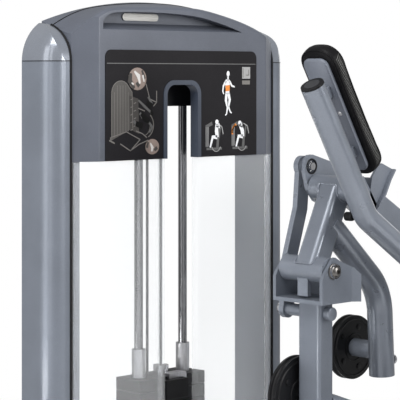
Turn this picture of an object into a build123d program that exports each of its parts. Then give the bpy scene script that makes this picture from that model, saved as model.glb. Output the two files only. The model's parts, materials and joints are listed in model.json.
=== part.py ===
from build123d import *
import math
import os

# Abdominal crunch machine: a selectorized weight tower with an exercise station beside it.
# Millimetres. +Z up, +X along the tower's width and the user's back, -Y from the tower towards
# the station. The origin is on the floor under the middle of the machine.

os.makedirs("parts", exist_ok=True)

# Overall footprint
HALF_LENGTH = 650
HALF_DEPTH = 495
FOOT_HEIGHT = 12
CAP_THICK = 10
BEAM_WIDTH = 80
BEAM_TOP = 72
BEAM_WALL = 3
BEAM_ROUND = 7

# Tower
TOWER_HEIGHT = 1383
TOWER_HALF = 356.5
TOWER_X = TOWER_HALF - HALF_LENGTH
COLUMN_WIDTH = 76
COLUMN_WALL = 4
COLUMN_ROUND = 38
COLUMN_FRONT = 345
COLUMN_BACK = 440
COLUMN_TOP = 1251
CAP_RISE = 80
ARCH_RADIUS = 1000
ARCH_CORNER = 95
HOOD_FRONT = 315
HOOD_HALF = 253
HOOD_FLARE = 50
HOOD_BOTTOM = 1043
HOOD_WALL = 4
HOOD_ROUND = 9
SLOT_HALF = 50
SLOT_TOP = 1205
SLOT_X = TOWER_X - 15
SLOT_DEPTH = 19
RECESS_DEPTH = 30
RECESS_FLOOR_RISE = 15
PLACARD_HALF = 228
PLACARD_TOP = 1275
PLACARD_X = TOWER_X - 9
SHROUD_WALL = 4
SHROUD_BOTTOM = 96
TOWER_BEAM_Y = (350, 450)

# Weight stack
STACK_Y = 396
ROD_SPREAD = 67
ROD_RADIUS = 9.5
ROD_TOP = 1196
PLATE_HALF_X = 98
PLATE_HALF_Y = 38
PLATE_PITCH = 28
PLATE_THICK = 26.5
STACK_BOTTOM = 119
PLATES_RESTING = 10
PLATES_LIFTED = 5
STEM_RADIUS = 12
TOP_PULLEY_RADIUS = 22
TOP_PULLEY_Z = 1190
PIN_RADIUS = 4.5
CABLE_RADIUS = 3

RETURN_Y = STACK_Y + 2 * TOP_PULLEY_RADIUS

# The hood's front top edge, full on the left and falling to the right: across, up
HOOD_EDGE = [
    (-360, 1240), (-303, 1300), (-275, 1334), (-253, 1349), (-229, 1360), (-205, 1364),
    (-138, 1366), (-80, 1367), (-20, 1367), (41, 1365), (104, 1355), (167, 1341),
    (233, 1320), (253, 1311), (303, 1280), (360, 1235),
]

# The scoop under that edge: its left side and top, and its floor's height at the front
RECESS_BASE = 1317
RECESS_EDGE = [
    (-242, 1334), (-226, 1348), (-200, 1353), (-138, 1355), (-80, 1355),
    (0, 1352), (41, 1348), (104, 1336), (148, 1325), (174, 1317),
]

# Station
PIVOT_X = -194
PIVOT_Z = 815
SEAT_Y = -246
ARM_OFFSET = 174
PAD_OFFSET = 208
POST_X = PIVOT_X + 16
POST_Y = 45
POST_SIZE_X = 46
POST_SIZE_Y = 60
YOKE_BASE = PIVOT_Z - 68
YOKE_FRONT = -10
YOKE_REAR = 112
PIVOT_TUBE = 27
AXLE_RADIUS = 12
PLAY = 0.05
ARM_RADIUS = 25
ARM_BEND = 62
PAD_LEAN = 31.4
PAD_FACING = Vector(math.cos(math.radians(PAD_LEAN)), 0, math.sin(math.radians(PAD_LEAN)))
PAD_CENTRE = Vector(8, 0, 339)
CROSS_TUBE = (470, -86)

# Pivots of the four-bar linkage, measured from the lower pivot: across, up
UPPER_PIVOT = (81, 166)
LINK_TOP = (68, 211)
LINK_FOOT = (17, -92)
POST_PULLEY = (12, -270)
TAIL_ACROSS = 226
TAIL_END = 236
TAIL_RADIUS = 28
TAIL_BEND = 125
TAIL_STUB = (245, -200)


def block(x0, x1, y0, y1, z0, z1):
    size = Box(x1 - x0, y1 - y0, z1 - z0)
    return Pos((x0 + x1) / 2, (y0 + y1) / 2, (z0 + z1) / 2) * size


def rod_y(x, z, radius, y0, y1):
    return Pos(x, (y0 + y1) / 2, z) * Rot(90, 0, 0) * Cylinder(radius, y1 - y0)


def rod_z(x, y, radius, z0, z1):
    return Pos(x, y, (z0 + z1) / 2) * Cylinder(radius, z1 - z0)


def rod_x(y, z, radius, x0, x1):
    return Pos((x0 + x1) / 2, y, z) * Rot(0, 90, 0) * Cylinder(radius, x1 - x0)


def group(*shapes):
    """Several separate solids kept together as one node."""
    return Compound(children=[solid for shape in shapes for solid in shape.solids()])


def largest(shape):
    return max(shape.solids(), key=lambda solid: solid.volume)


def hollow_beam(x0, x1, y0, y1, z0, z1, along):
    """A closed rectangular tube with open ends along X, Y or Z."""
    grow = {"x": (1, 0, 0), "y": (0, 1, 0), "z": (0, 0, 1)}[along]
    axis = {"x": Axis.X, "y": Axis.Y, "z": Axis.Z}[along]
    low = [edge + BEAM_WALL * (1 - 2 * g) for edge, g in zip((x0, y0, z0), grow)]
    high = [edge - BEAM_WALL * (1 - 2 * g) for edge, g in zip((x1, y1, z1), grow)]
    outside = block(x0, x1, y0, y1, z0, z1)
    inside = block(low[0], high[0], low[1], high[1], low[2], high[2])
    outside = fillet(outside.edges().filter_by(axis), BEAM_ROUND)
    inside = fillet(inside.edges().filter_by(axis), BEAM_ROUND - BEAM_WALL)
    return outside - inside


def swept(points, radius, bend):
    """A round bar along straight runs joined by arcs of one bend radius."""
    if len(points) > 2:
        path = FilletPolyline(*points, radius=bend)
    else:
        path = Polyline(*points)
    section = Plane(path @ 0, z_dir=path % 0) * Circle(radius)
    return sweep(section, path=path)


def tube(points, radius, wall, bend=60):
    """A hollow round tube along straight runs joined by arcs."""
    return swept(points, radius, bend) - swept(points, radius - wall, bend)


def at_pivot(across, y, up):
    return (PIVOT_X + across, y, PIVOT_Z + up)


def plate_xz(points, y0, y1):
    """A flat plate across the pivots, its outline given from the lower pivot."""
    outline = Polyline(*[(PIVOT_X + a, PIVOT_Z + u) for a, u in points], close=True)
    face = Plane.XZ * make_face(outline)
    return Pos(0, y1, 0) * extrude(face, y1 - y0)


def along_lean(from_pivot, length, width, depth, lean, y):
    """A bar whose long side leans from the vertical towards +X, centred on a point."""
    bar = Box(width, depth, length)
    return Pos(*at_pivot(from_pivot[0], y, from_pivot[1])) * Rot(0, lean, 0) * bar


def save(name, shape):
    solids = [solid for solid in shape.solids()]
    out = solids[0] if len(solids) == 1 else Compound(children=solids)
    out.label = name
    export_step(out, f"parts/{name}.step")


# ---------------------------------------------------------------- floor frame

def floor_frame():
    left_x = (-HALF_LENGTH, BEAM_WIDTH - HALF_LENGTH)
    rear_x = (HALF_LENGTH - BEAM_WIDTH, HALF_LENGTH)
    post_x = (POST_X - BEAM_WIDTH / 2, POST_X + BEAM_WIDTH / 2)
    main_y = (SEAT_Y - BEAM_WIDTH / 2, SEAT_Y + BEAM_WIDTH / 2)
    cross_end = TOWER_X + TOWER_HALF
    end = HALF_DEPTH - CAP_THICK
    rear_end = 5
    z = (FOOT_HEIGHT, BEAM_TOP)
    save("floor_beam_left", hollow_beam(*left_x, -end, end, *z, "y"))
    main_beam = hollow_beam(left_x[1], rear_x[0], *main_y, *z, "x")
    save("main_floor_beams", group(main_beam, hollow_beam(*rear_x, -end, rear_end, *z, "y")))
    post_beam = hollow_beam(*post_x, main_y[1], TOWER_BEAM_Y[0], *z, "y")
    tower_beam = hollow_beam(left_x[1], cross_end, *TOWER_BEAM_Y, *z, "x")
    tower_beam -= rod_z(TOWER_X, RETURN_Y, 6, 50, 90)
    save("tower_floor_beams", group(post_beam, tower_beam))
    caps = [block(cross_end, cross_end + CAP_THICK, *TOWER_BEAM_Y, *z)]
    for x_pair, y0, y1 in (
        (left_x, -HALF_DEPTH, -end),
        (left_x, end, HALF_DEPTH),
        (rear_x, -HALF_DEPTH, -end),
        (rear_x, rear_end, rear_end + CAP_THICK),
    ):
        caps.append(block(*x_pair, y0, y1, *z))
    save("beam_end_caps", group(*caps))
    left_foot = (left_x[0] + left_x[1]) / 2
    rear_foot = (rear_x[0] + rear_x[1]) / 2
    feet = [
        (left_foot, -455), (left_foot, 455), (left_foot, -60), (left_foot, 200),
        (rear_foot, -455), (rear_foot, -25),
        (cross_end - 40, 400), (TOWER_X, 400), (POST_X, 150), (250, SEAT_Y), (-400, SEAT_Y),
    ]
    save("rubber_feet", group(*[rod_z(x, y, 30, 0, FOOT_HEIGHT) for x, y in feet]))


# ---------------------------------------------------------------- tower shell

def arch_profile(half, top, corner):
    """Front outline of the arched top, as a closed solid slab through the whole depth."""
    circle = Pos(TOWER_X, top - ARCH_RADIUS) * Circle(ARCH_RADIUS)
    box = Pos(TOWER_X, 1100) * Rectangle(2 * half, 700)
    outline = circle & box
    crown = outline.vertices().filter_by(lambda v: v.Y > 1200)
    return fillet(crown, corner)


def hoop():
    """The whole arched housing: columns and top as one round-edged body."""
    face = Plane.XZ * arch_profile(TOWER_HALF, TOWER_HEIGHT, ARCH_CORNER)
    body = Pos(0, COLUMN_BACK, 0) * extrude(face, COLUMN_BACK - COLUMN_FRONT)
    front = body.edges().filter_by(lambda e: abs(e.center().Y - COLUMN_FRONT) < 1 and e.center().Z > 900)
    return fillet(front, COLUMN_ROUND)


def column(side):
    """A hollow column with a broad round on its outer front edge."""
    outer = TOWER_X + side * TOWER_HALF
    inner = outer - side * COLUMN_WIDTH
    x = sorted((outer, inner))
    solid = block(*x, COLUMN_FRONT, COLUMN_BACK, BEAM_TOP, COLUMN_TOP)
    corner = solid.edges().filter_by(Axis.Z).sort_by(lambda e: side * e.center().X)[-2:]
    front = corner.sort_by(Axis.Y)[0]
    solid = fillet(front, COLUMN_ROUND)
    inside = block(
        x[0] + COLUMN_WALL, x[1] - COLUMN_WALL,
        COLUMN_FRONT + COLUMN_WALL, COLUMN_BACK - COLUMN_WALL,
        BEAM_TOP, COLUMN_TOP,
    )
    corner = inside.edges().filter_by(Axis.Z).sort_by(lambda e: side * e.center().X)[-2:]
    front = corner.sort_by(Axis.Y)[0]
    inside = fillet(front, COLUMN_ROUND - COLUMN_WALL)
    return solid - inside


def hood_plan(grow):
    """The hood's plan: a flat front with slanted flanks, moved in by a wall thickness."""
    half = HOOD_HALF - grow * 0.7
    flare = HOOD_HALF + HOOD_FLARE - grow * 1.3
    front = HOOD_FRONT + grow
    pts = [
        (TOWER_X - flare, COLUMN_FRONT), (TOWER_X - half, front),
        (TOWER_X + half, front), (TOWER_X + flare, COLUMN_FRONT),
    ]
    return pts


def slot_cutter(half, top, corner, y0, y1):
    """The round-shouldered slot, as a solid to cut with."""
    outline = Pos(SLOT_X, top - 200) * Rectangle(2 * half, 400)
    shoulders = outline.vertices().filter_by(lambda v: v.Y > top - 1)
    return Pos(0, y1, 0) * extrude(Plane.XZ * fillet(shoulders, corner), y1 - y0)


def roof_section(edge, y):
    """An upright face from below the hood up to one top edge, at one depth."""
    points = [(TOWER_X + across, y, up) for across, up in edge]
    left = (points[0][0], y, 900)
    right = (points[-1][0], y, 900)
    return make_face([
        Spline(*points), Line(points[-1], right), Line(right, left), Line(left, points[0])
    ])


def hood_body(grow):
    """The hood's filled volume, moved in by a wall thickness."""
    rear_edge = []
    for across, _ in HOOD_EDGE:
        drop = ARCH_RADIUS - math.sqrt(ARCH_RADIUS ** 2 - across ** 2)
        rear_edge.append((across, TOWER_HEIGHT - drop - grow))
    front_edge = [(across, up - grow) for across, up in HOOD_EDGE]
    roof = loft(
        [roof_section(front_edge, HOOD_FRONT - 2), roof_section(rear_edge, COLUMN_BACK + 2)], ruled=True
    )
    back = COLUMN_BACK - grow
    points = hood_plan(grow)
    plan = Polyline((points[0][0], back), *points, (points[3][0], back), close=True)
    solid = extrude(Plane.XY.offset(HOOD_BOTTOM - 50) * make_face(plan), 500)
    return solid & roof


def scoop(grow, depth):
    """The scoop in the hood's front, as a solid with a flat floor."""
    points = [(TOWER_X + across + math.copysign(grow, across), up + grow) for across, up in RECESS_EDGE]
    left = (points[0][0], RECESS_BASE - grow)
    right = (points[-1][0], RECESS_BASE - grow)
    sides = [Line(left, points[0])]
    if grow:
        sides.append(Line(points[-1], right))
    outline = make_face([*sides, Spline(*points), Line(right, left)])
    return Pos(0, HOOD_FRONT + depth, 0) * extrude(Plane.XZ * outline, depth + 1)


def hood():
    """Front cover and roof of the tower as one thin shell with a scoop in its front."""
    outer = hood_body(0)
    front = outer.edges().filter_by(lambda e: abs(e.center().Y - HOOD_FRONT) < 1 and e.center().Z > 1100)
    outer = fillet(front, HOOD_ROUND)
    shell = outer - hood_body(HOOD_WALL)
    shell += scoop(HOOD_WALL, RECESS_DEPTH + HOOD_WALL) & outer
    floor = Polyline(
        (HOOD_FRONT - 2, RECESS_BASE - 5), (HOOD_FRONT, RECESS_BASE),
        (HOOD_FRONT + RECESS_DEPTH + 1, RECESS_BASE + RECESS_FLOOR_RISE),
        (HOOD_FRONT + RECESS_DEPTH + 1, RECESS_BASE - 5), close=True,
    )
    ramp = Pos(TOWER_X - 300, 0, 0) * extrude(Plane.YZ * make_face(floor), 600)
    shell -= scoop(0, RECESS_DEPTH) - ramp
    shell -= block(-HALF_LENGTH, 100, HOOD_FRONT - 5, COLUMN_BACK + 5, 700, HOOD_BOTTOM)
    # Behind the front cover the shell is only a roof: its back ends above the cross member.
    shell -= block(-HALF_LENGTH, 100, COLUMN_FRONT, COLUMN_BACK + 5, 700, COLUMN_TOP)
    shell -= slot_cutter(SLOT_HALF, SLOT_TOP, 26, HOOD_FRONT - 5, COLUMN_BACK + 5)
    return largest(shell)


def column_cap(side):
    """Glossy moulded cap: the arch's corner, domed to the front above the column."""
    cut = TOWER_X + side * (HOOD_HALF + HOOD_FLARE + 1)
    edge = TOWER_X + side * (TOWER_HALF + 5)
    keep = block(*sorted((cut, edge)), COLUMN_FRONT - 5, COLUMN_BACK + 5, COLUMN_TOP, TOWER_HEIGHT)
    depth = COLUMN_BACK - COLUMN_FRONT
    outline = [(COLUMN_BACK + 5, COLUMN_TOP - 5), (COLUMN_FRONT, COLUMN_TOP - 5)]
    for step in range(13):
        angle = math.radians(7.5 * step)
        outline.append((COLUMN_BACK - depth * math.cos(angle), COLUMN_TOP + CAP_RISE * math.sin(angle)))
    outline.append((COLUMN_BACK + 5, COLUMN_TOP + CAP_RISE))
    front = Spline(*outline[1:-1])
    rest = Polyline(outline[-2], outline[-1], outline[0], outline[1])
    dome = extrude(Plane.YZ.offset(-HALF_LENGTH - 20) * make_face(front + rest), 800)
    return hoop() & keep & dome


def shroud(side):
    """A translucent guard: slanted flank, flat front and a return beside the open slot."""
    def line(grow):
        return [
            (TOWER_X + side * (HOOD_HALF + HOOD_FLARE - 1.3 * grow), COLUMN_FRONT),
            (TOWER_X + side * (HOOD_HALF - 0.7 * grow), HOOD_FRONT + grow),
            (SLOT_X + side * (SLOT_HALF + grow), HOOD_FRONT + grow),
            (SLOT_X + side * (SLOT_HALF + grow), HOOD_FRONT + SLOT_DEPTH),
        ]

    plan = Polyline(*line(0), *reversed(line(SHROUD_WALL)), close=True)
    height = HOOD_BOTTOM - 1 - SHROUD_BOTTOM
    return extrude(Plane.XY.offset(SHROUD_BOTTOM) * make_face(plan), height)


def slot_rim():
    """Moulded rim around the round-topped slot, standing a little proud of the placard."""
    outer = slot_cutter(SLOT_HALF, SLOT_TOP, 26, HOOD_FRONT - 4, HOOD_FRONT + SLOT_DEPTH)
    wide = slot_cutter(SLOT_HALF + 6, SLOT_TOP + 6, 31, HOOD_FRONT - 4, HOOD_FRONT)
    narrow = slot_cutter(SLOT_HALF - 4, SLOT_TOP - 4, 22, HOOD_FRONT - 5, HOOD_FRONT + SLOT_DEPTH + 1)
    low = block(-HALF_LENGTH, 100, HOOD_FRONT - 10, COLUMN_BACK, 500, HOOD_BOTTOM)
    return outer + wide - narrow - low


def placard():
    """Thin instruction placard with round top corners, cut out around the slot's rim."""
    x = (PLACARD_X - PLACARD_HALF, PLACARD_X + PLACARD_HALF)
    sheet = block(*x, HOOD_FRONT - 2, HOOD_FRONT, HOOD_BOTTOM, PLACARD_TOP)
    top = sheet.edges().filter_by(Axis.Y).filter_by(lambda e: e.center().Z > PLACARD_TOP - 1)
    sheet = fillet(top, 16)
    return sheet - slot_cutter(SLOT_HALF + 6, SLOT_TOP + 6, 31, HOOD_FRONT - 5, HOOD_FRONT + 1)


def cross_members():
    """The upper member that holds the guide rods and top pulley, and the rail under the guards."""
    inner = TOWER_HALF - COLUMN_WIDTH
    x = (TOWER_X - inner, TOWER_X + inner)
    member = block(*x, 372, 420, 1154, 1240) - block(x[0] - 1, x[1] + 1, 376, 416, 1158, 1236)
    for side in (-1, 1):
        member -= rod_z(TOWER_X + side * ROD_SPREAD, STACK_Y, ROD_RADIUS + 0.02, 1150, 1170)
    member -= block(TOWER_X - 14, TOWER_X + 14, 384, 425, 1150, 1245)
    for side in (-1, 1):
        cheek = sorted((TOWER_X + side * 14, TOWER_X + side * 18))
        member += block(*cheek, 400, COLUMN_BACK, TOP_PULLEY_Z - 20, TOP_PULLEY_Z + 20)
    member -= rod_x(STACK_Y + TOP_PULLEY_RADIUS, TOP_PULLEY_Z, 6, TOWER_X - 30, TOWER_X + 30)
    rail = block(*x, 349, 371, BEAM_TOP + 6, SHROUD_BOTTOM - 1)
    return group(member, rail)


def tower():
    save("column_left", column(-1))
    save("column_right", column(1))
    save("column_caps", group(column_cap(-1), column_cap(1)))
    save("hood_shell", hood())
    save("slot_rim", slot_rim())
    save("placard", placard())
    face = Plane.XZ * Pos(TOWER_X - 111, 1345) * SlotOverall(104, 15)
    behind = HOOD_FRONT + RECESS_DEPTH
    save("badge_plate", Pos(0, behind, 0) * extrude(face, 3))
    save("shroud_left", shroud(-1))
    save("shroud_right", shroud(1))
    save("tower_cross_members", cross_members())


# ---------------------------------------------------------------- weight stack

def stack_plate(z):
    plate = block(
        TOWER_X - PLATE_HALF_X, TOWER_X + PLATE_HALF_X,
        STACK_Y - PLATE_HALF_Y, STACK_Y + PLATE_HALF_Y,
        z, z + PLATE_THICK,
    )
    for side in (-1, 1):
        plate -= rod_z(TOWER_X + side * ROD_SPREAD, STACK_Y, ROD_RADIUS + 2, z - 1, z + 40)
    plate -= rod_z(TOWER_X, STACK_Y, STEM_RADIUS + 1.5, z - 1, z + 40)
    plate -= rod_y(TOWER_X, z + PLATE_THICK / 2, PIN_RADIUS + 1, STACK_Y - PLATE_HALF_Y - 1, STACK_Y)
    return plate


def weight_stack():
    first_lifted = STACK_BOTTOM + PLATES_RESTING * PLATE_PITCH
    top_plate = first_lifted + PLATES_LIFTED * PLATE_PITCH
    resting = [stack_plate(STACK_BOTTOM + i * PLATE_PITCH) for i in range(PLATES_RESTING)]
    lifted = [stack_plate(first_lifted + i * PLATE_PITCH) for i in range(PLATES_LIFTED)]
    save("weight_plates_resting", group(*resting))
    save("weight_plates_selected", group(*lifted))
    save("weight_top_plate", stack_plate(top_plate))
    rods = []
    for side in (-1, 1):
        rods.append(rod_z(TOWER_X + side * ROD_SPREAD, STACK_Y, ROD_RADIUS, BEAM_TOP, ROD_TOP))
    save("guide_rods", group(*rods))
    buffers = []
    for side in (-1, 1):
        ring = rod_z(TOWER_X + side * ROD_SPREAD, STACK_Y, 24, BEAM_TOP, STACK_BOTTOM - 1.5)
        buffers.append(ring - rod_z(TOWER_X + side * ROD_SPREAD, STACK_Y, ROD_RADIUS, 60, 130))
    save("stack_buffers", group(*buffers))
    top = top_plate + PLATE_THICK
    bushes = []
    for side in (-1, 1):
        sleeve = rod_z(TOWER_X + side * ROD_SPREAD, STACK_Y, 15, top, top + 62)
        bushes.append(sleeve - rod_z(TOWER_X + side * ROD_SPREAD, STACK_Y, ROD_RADIUS + 0.05, 60, 900))
    stem = rod_z(TOWER_X, STACK_Y, STEM_RADIUS, first_lifted - 120, top + 20)
    stem += rod_z(TOWER_X, STACK_Y, 17, top, top + 20)
    for i in range(PLATES_LIFTED):
        hole = first_lifted + i * PLATE_PITCH + PLATE_THICK / 2
        stem -= rod_y(TOWER_X, hole, PIN_RADIUS + 0.05, STACK_Y - 20, STACK_Y + 20)
    save("selector_stem", stem)
    pin_z = first_lifted + PLATE_THICK / 2
    face = STACK_Y - PLATE_HALF_Y
    pin = rod_y(TOWER_X, pin_z, PIN_RADIUS, face - 6, STACK_Y + 10)
    save("selector_pin", pin + rod_y(TOWER_X, pin_z, 15, face - 34, face - 6))
    x = TOWER_X + 10
    bracket = block(x - 26, x + 26, face - 6, face, top - 40, top + 6)
    bracket += block(x - 26, x + 26, face - 6, face + 20, top, top + 6)
    save("carriage_bracket", group(bracket, *bushes))
    save("carriage_damper", block(TOWER_X - 42, TOWER_X + 24, face - 24, face - 6, top - 44, top - 4))
    save("stack_cable", rod_z(TOWER_X, STACK_Y, CABLE_RADIUS, top + 20, TOP_PULLEY_Z))
    save("return_cable", rod_z(TOWER_X, RETURN_Y, CABLE_RADIUS, 55, TOP_PULLEY_Z))
    wheel = Rot(0, 0, 90) * pulley(TOP_PULLEY_RADIUS + CABLE_RADIUS + 2, 18, 6)
    wheel -= Rot(0, 90, 0) * Torus(TOP_PULLEY_RADIUS, CABLE_RADIUS + 0.5)
    mouth = Cylinder(TOP_PULLEY_RADIUS + 20, 2 * CABLE_RADIUS + 1)
    wheel -= Rot(0, 90, 0) * (mouth - Cylinder(TOP_PULLEY_RADIUS, 2 * CABLE_RADIUS + 2))
    save("top_pulley", Pos(TOWER_X, STACK_Y + TOP_PULLEY_RADIUS, TOP_PULLEY_Z) * wheel)


# ---------------------------------------------------------------- station frame

def yoke():
    """Two flanges on a base plate, closed at the right, with a folded lip in front."""
    outline = [
        (-35, -60), (-35, -16), (-30, -7), (-13, 12), (-2, 25), (6, 28), (23, 19), (62, 4), (62, -60),
    ]
    front = plate_xz(outline, YOKE_FRONT - 8, YOKE_FRONT)
    rear = plate_xz(outline, YOKE_REAR, YOKE_REAR + 8)
    base = block(
        PIVOT_X - 35, PIVOT_X + 76, YOKE_FRONT - 8, YOKE_REAR + 8, YOKE_BASE, YOKE_BASE + 8
    )
    wall = block(
        PIVOT_X + 56, PIVOT_X + 62, YOKE_FRONT - 1, YOKE_REAR + 1, YOKE_BASE + 7, PIVOT_Z - 12
    )
    bent = Polyline(
        (PIVOT_X + 58, YOKE_FRONT), (PIVOT_X + 58, YOKE_FRONT - 8), (PIVOT_X + 74, YOKE_FRONT - 21),
        (PIVOT_X + 78, YOKE_FRONT - 14), (PIVOT_X + 63, YOKE_FRONT), close=True,
    )
    lip = extrude(Plane.XY.offset(YOKE_BASE) * make_face(bent), 80)
    lip_side = [(52, -68), (52, 7), (62, 4), (72, -9), (82, -14), (82, -68)]
    lip &= plate_xz(lip_side, YOKE_FRONT - 30, YOKE_FRONT)
    body = front + rear + base + wall + lip
    return body - rod_y(PIVOT_X, PIVOT_Z, AXLE_RADIUS, YOKE_FRONT - 20, YOKE_REAR + 20)


def station_frame():
    x = (POST_X - POST_SIZE_X / 2, POST_X + POST_SIZE_X / 2)
    y = (POST_Y - POST_SIZE_Y / 2, POST_Y + POST_SIZE_Y / 2)
    foot = PIVOT_X + LINK_FOOT[0]
    foot_z = PIVOT_Z + LINK_FOOT[1]
    post = hollow_beam(*x, *y, BEAM_TOP, YOKE_BASE, "z")
    save("post", post - rod_y(foot, foot_z, 13, 0, 100))
    save("yoke", yoke())
    axle = rod_y(PIVOT_X, PIVOT_Z, AXLE_RADIUS, YOKE_FRONT - 12, YOKE_REAR + 9)
    axle += rod_y(PIVOT_X, PIVOT_Z, 15, YOKE_FRONT - 16, YOKE_FRONT - 8)
    save("lower_axle", axle)
    wheel_x, wheel_z = PIVOT_X + POST_PULLEY[0], PIVOT_Z + POST_PULLEY[1]
    pins = group(
        rod_y(foot, foot_z, 13, POST_Y - 40, YOKE_REAR + 26),
        rod_y(wheel_x, wheel_z, 8, y[1], 108),
        rod_x(STACK_Y + TOP_PULLEY_RADIUS, TOP_PULLEY_Z, 6, TOWER_X - 22, TOWER_X + 22),
    )
    save("frame_pins", pins)
    save("post_pulley", Pos(wheel_x, 92, wheel_z) * pulley(82, 22, 8))


def rear_upright():
    upright = tube(
        [
            (PIVOT_X + 640, SEAT_Y, BEAM_TOP - 30), (PIVOT_X + 760, SEAT_Y, 330),
            (PIVOT_X + 640, SEAT_Y, 600), (PIVOT_X + 428, SEAT_Y, 622),
        ],
        32, 3, 110,
    )
    return upright - block(-650, 650, SEAT_Y - 60, SEAT_Y + 60, -50, BEAM_TOP)


def rear_support():
    """The curved upright behind the user and the fixed lumbar pad that it carries."""
    plate_x = PIVOT_X + 420
    upright = rear_upright() - block(plate_x - 20, plate_x + 8, -650, 100, 500, 900)
    plate = block(plate_x, plate_x + 8, SEAT_Y - 90, SEAT_Y + 90, 560, 800)
    save("rear_upright", group(largest(upright), plate))
    pad = block(plate_x - 65, plate_x, SEAT_Y - 130, SEAT_Y + 130, 545, 835)
    save("back_pad", fillet(pad.edges().filter_by(Axis.X), 50))
    # The brace runs from the post to the lower bend of the upright.
    brace = tube([(POST_X, POST_Y, 540), (PIVOT_X + 727, SEAT_Y, 250)], 22, 2.5)
    brace -= block(POST_X - 80, POST_X + POST_SIZE_X / 2, 0, 110, 400, 700)
    brace -= swept(
        [(PIVOT_X + 640, SEAT_Y, BEAM_TOP - 30), (PIVOT_X + 760, SEAT_Y, 330)], 32.2, 60
    )
    save("frame_brace", largest(brace))


def seat():
    x = PIVOT_X + 230
    half = 35
    knob_z = 405
    sleeve = hollow_beam(x - half, x + half, SEAT_Y - half, SEAT_Y + half, BEAM_TOP, 430, "z")
    front = SEAT_Y - half
    sleeve += rod_y(x, knob_z, 16, front - 25, front)
    save("seat_sleeve", sleeve - rod_y(x, knob_z, 6.05, front - 30, SEAT_Y - 25))
    inner = half - BEAM_WALL - 0.5
    stem = block(x - inner, x + inner, SEAT_Y - inner, SEAT_Y + inner, 200, 438)
    stem = fillet(stem.edges().filter_by(Axis.Z), BEAM_ROUND - BEAM_WALL)
    hollow = block(x - 28, x + 28, SEAT_Y - 28, SEAT_Y + 28, 190, 438)
    plate = block(x - 130, x + 110, SEAT_Y - 90, SEAT_Y + 90, 438, 446)
    save("seat_stem", stem - hollow + plate)
    cushion = block(x - 205, x + 118, SEAT_Y - 150, SEAT_Y + 150, 446, 510)
    save("seat_cushion", fillet(cushion.edges().filter_by(Axis.Z), 60))
    knob = rod_y(x, knob_z, 6, front - 26, front + 2)
    save("seat_pull_knob", knob + rod_y(x, knob_z, 24, front - 54, front - 26))


def foot_support():
    """A short upright with a cross bar and two foam rollers that hold the user's feet."""
    x = PIVOT_X - 290
    z = 220
    upright = hollow_beam(x - 25, x + 25, SEAT_Y - 25, SEAT_Y + 25, BEAM_TOP, z - 15, "z")
    clamp = block(x - 25, x + 25, SEAT_Y - 25, SEAT_Y + 25, z - 15, z + 20)
    save("foot_stand", upright + clamp + rod_y(x, z, 14, SEAT_Y - 215, SEAT_Y + 215))
    for name, side in (("near", -1), ("far", 1)):
        y = sorted((SEAT_Y + side * 45, SEAT_Y + side * 205))
        roller = rod_y(x, z, 50, *y) - rod_y(x, z, 14.08, y[0] - 1, y[1] + 1)
        save(f"foot_roller_{name}", roller)


# ---------------------------------------------------------------- crank

def crank():
    bore = AXLE_RADIUS + PLAY
    tail_x = PIVOT_X + TAIL_END
    upper = (PIVOT_X + UPPER_PIVOT[0], PIVOT_Z + UPPER_PIVOT[1])
    lower_tube = rod_y(PIVOT_X, PIVOT_Z, PIVOT_TUBE, YOKE_FRONT + 1.5, YOKE_REAR - 1.5)
    upper_tube = rod_y(*upper, PIVOT_TUBE, -11, 100)
    lower_tube += block(PIVOT_X - 20, PIVOT_X - 9, 36, 64, PIVOT_Z - 55, PIVOT_Z - 16)
    lower_tube -= rod_y(PIVOT_X, PIVOT_Z, bore, -50, 150)
    upper_tube -= rod_y(*upper, bore, -50, 150)
    save("crank_pivot_tubes", group(lower_tube, upper_tube))
    lean = math.degrees(math.atan2(*UPPER_PIVOT))
    reach = math.hypot(*UPPER_PIVOT)
    centre = (UPPER_PIVOT[0] / 2, UPPER_PIVOT[1] / 2)
    bar = along_lean(centre, reach, 57, 51, lean, POST_Y)
    bar = fillet(bar.edges().filter_by(lambda e: e.length > reach - 1), 12)
    hollow = along_lean(centre, reach + 20, 50, 44, lean, POST_Y)
    hollow = fillet(hollow.edges().filter_by(lambda e: e.length > reach - 1), 8.5)
    for pivot in ((PIVOT_X, PIVOT_Z), upper):
        bar -= rod_y(*pivot, PIVOT_TUBE, -50, 150)
    save("crank_bar", bar - hollow)
    tail_path = [
        at_pivot(50, POST_Y, 96), at_pivot(TAIL_ACROSS, POST_Y, -62), at_pivot(TAIL_END, POST_Y, -251)
    ]
    outside = swept(tail_path, TAIL_RADIUS, TAIL_BEND)
    tail = largest(outside - bar)
    stub_x, stub_z = PIVOT_X + TAIL_STUB[0], PIVOT_Z + TAIL_STUB[1]
    tail += rod_y(stub_x, stub_z, 20, POST_Y + 20, 131)
    tail -= swept(tail_path, TAIL_RADIUS - 3, TAIL_BEND)
    bolt = rod_x(POST_Y, PIVOT_Z - 220, 8, tail_x + 20, tail_x + 34) - outside
    save("crank_tail", tail + rod_y(stub_x, stub_z, 8, 131, 155) + largest(bolt))
    save("tail_pulley", Pos(stub_x, 141, stub_z) * pulley(71, 20, 8))


def pulley(radius, width, bore):
    """A cable pulley with a round groove, its axle along Y through the origin."""
    wheel = rod_y(0, 0, radius, -width / 2, width / 2)
    groove = Rot(90, 0, 0) * Torus(radius + 1, 5)
    return wheel - groove - rod_y(0, 0, bore + PLAY, -width, width)


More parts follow.
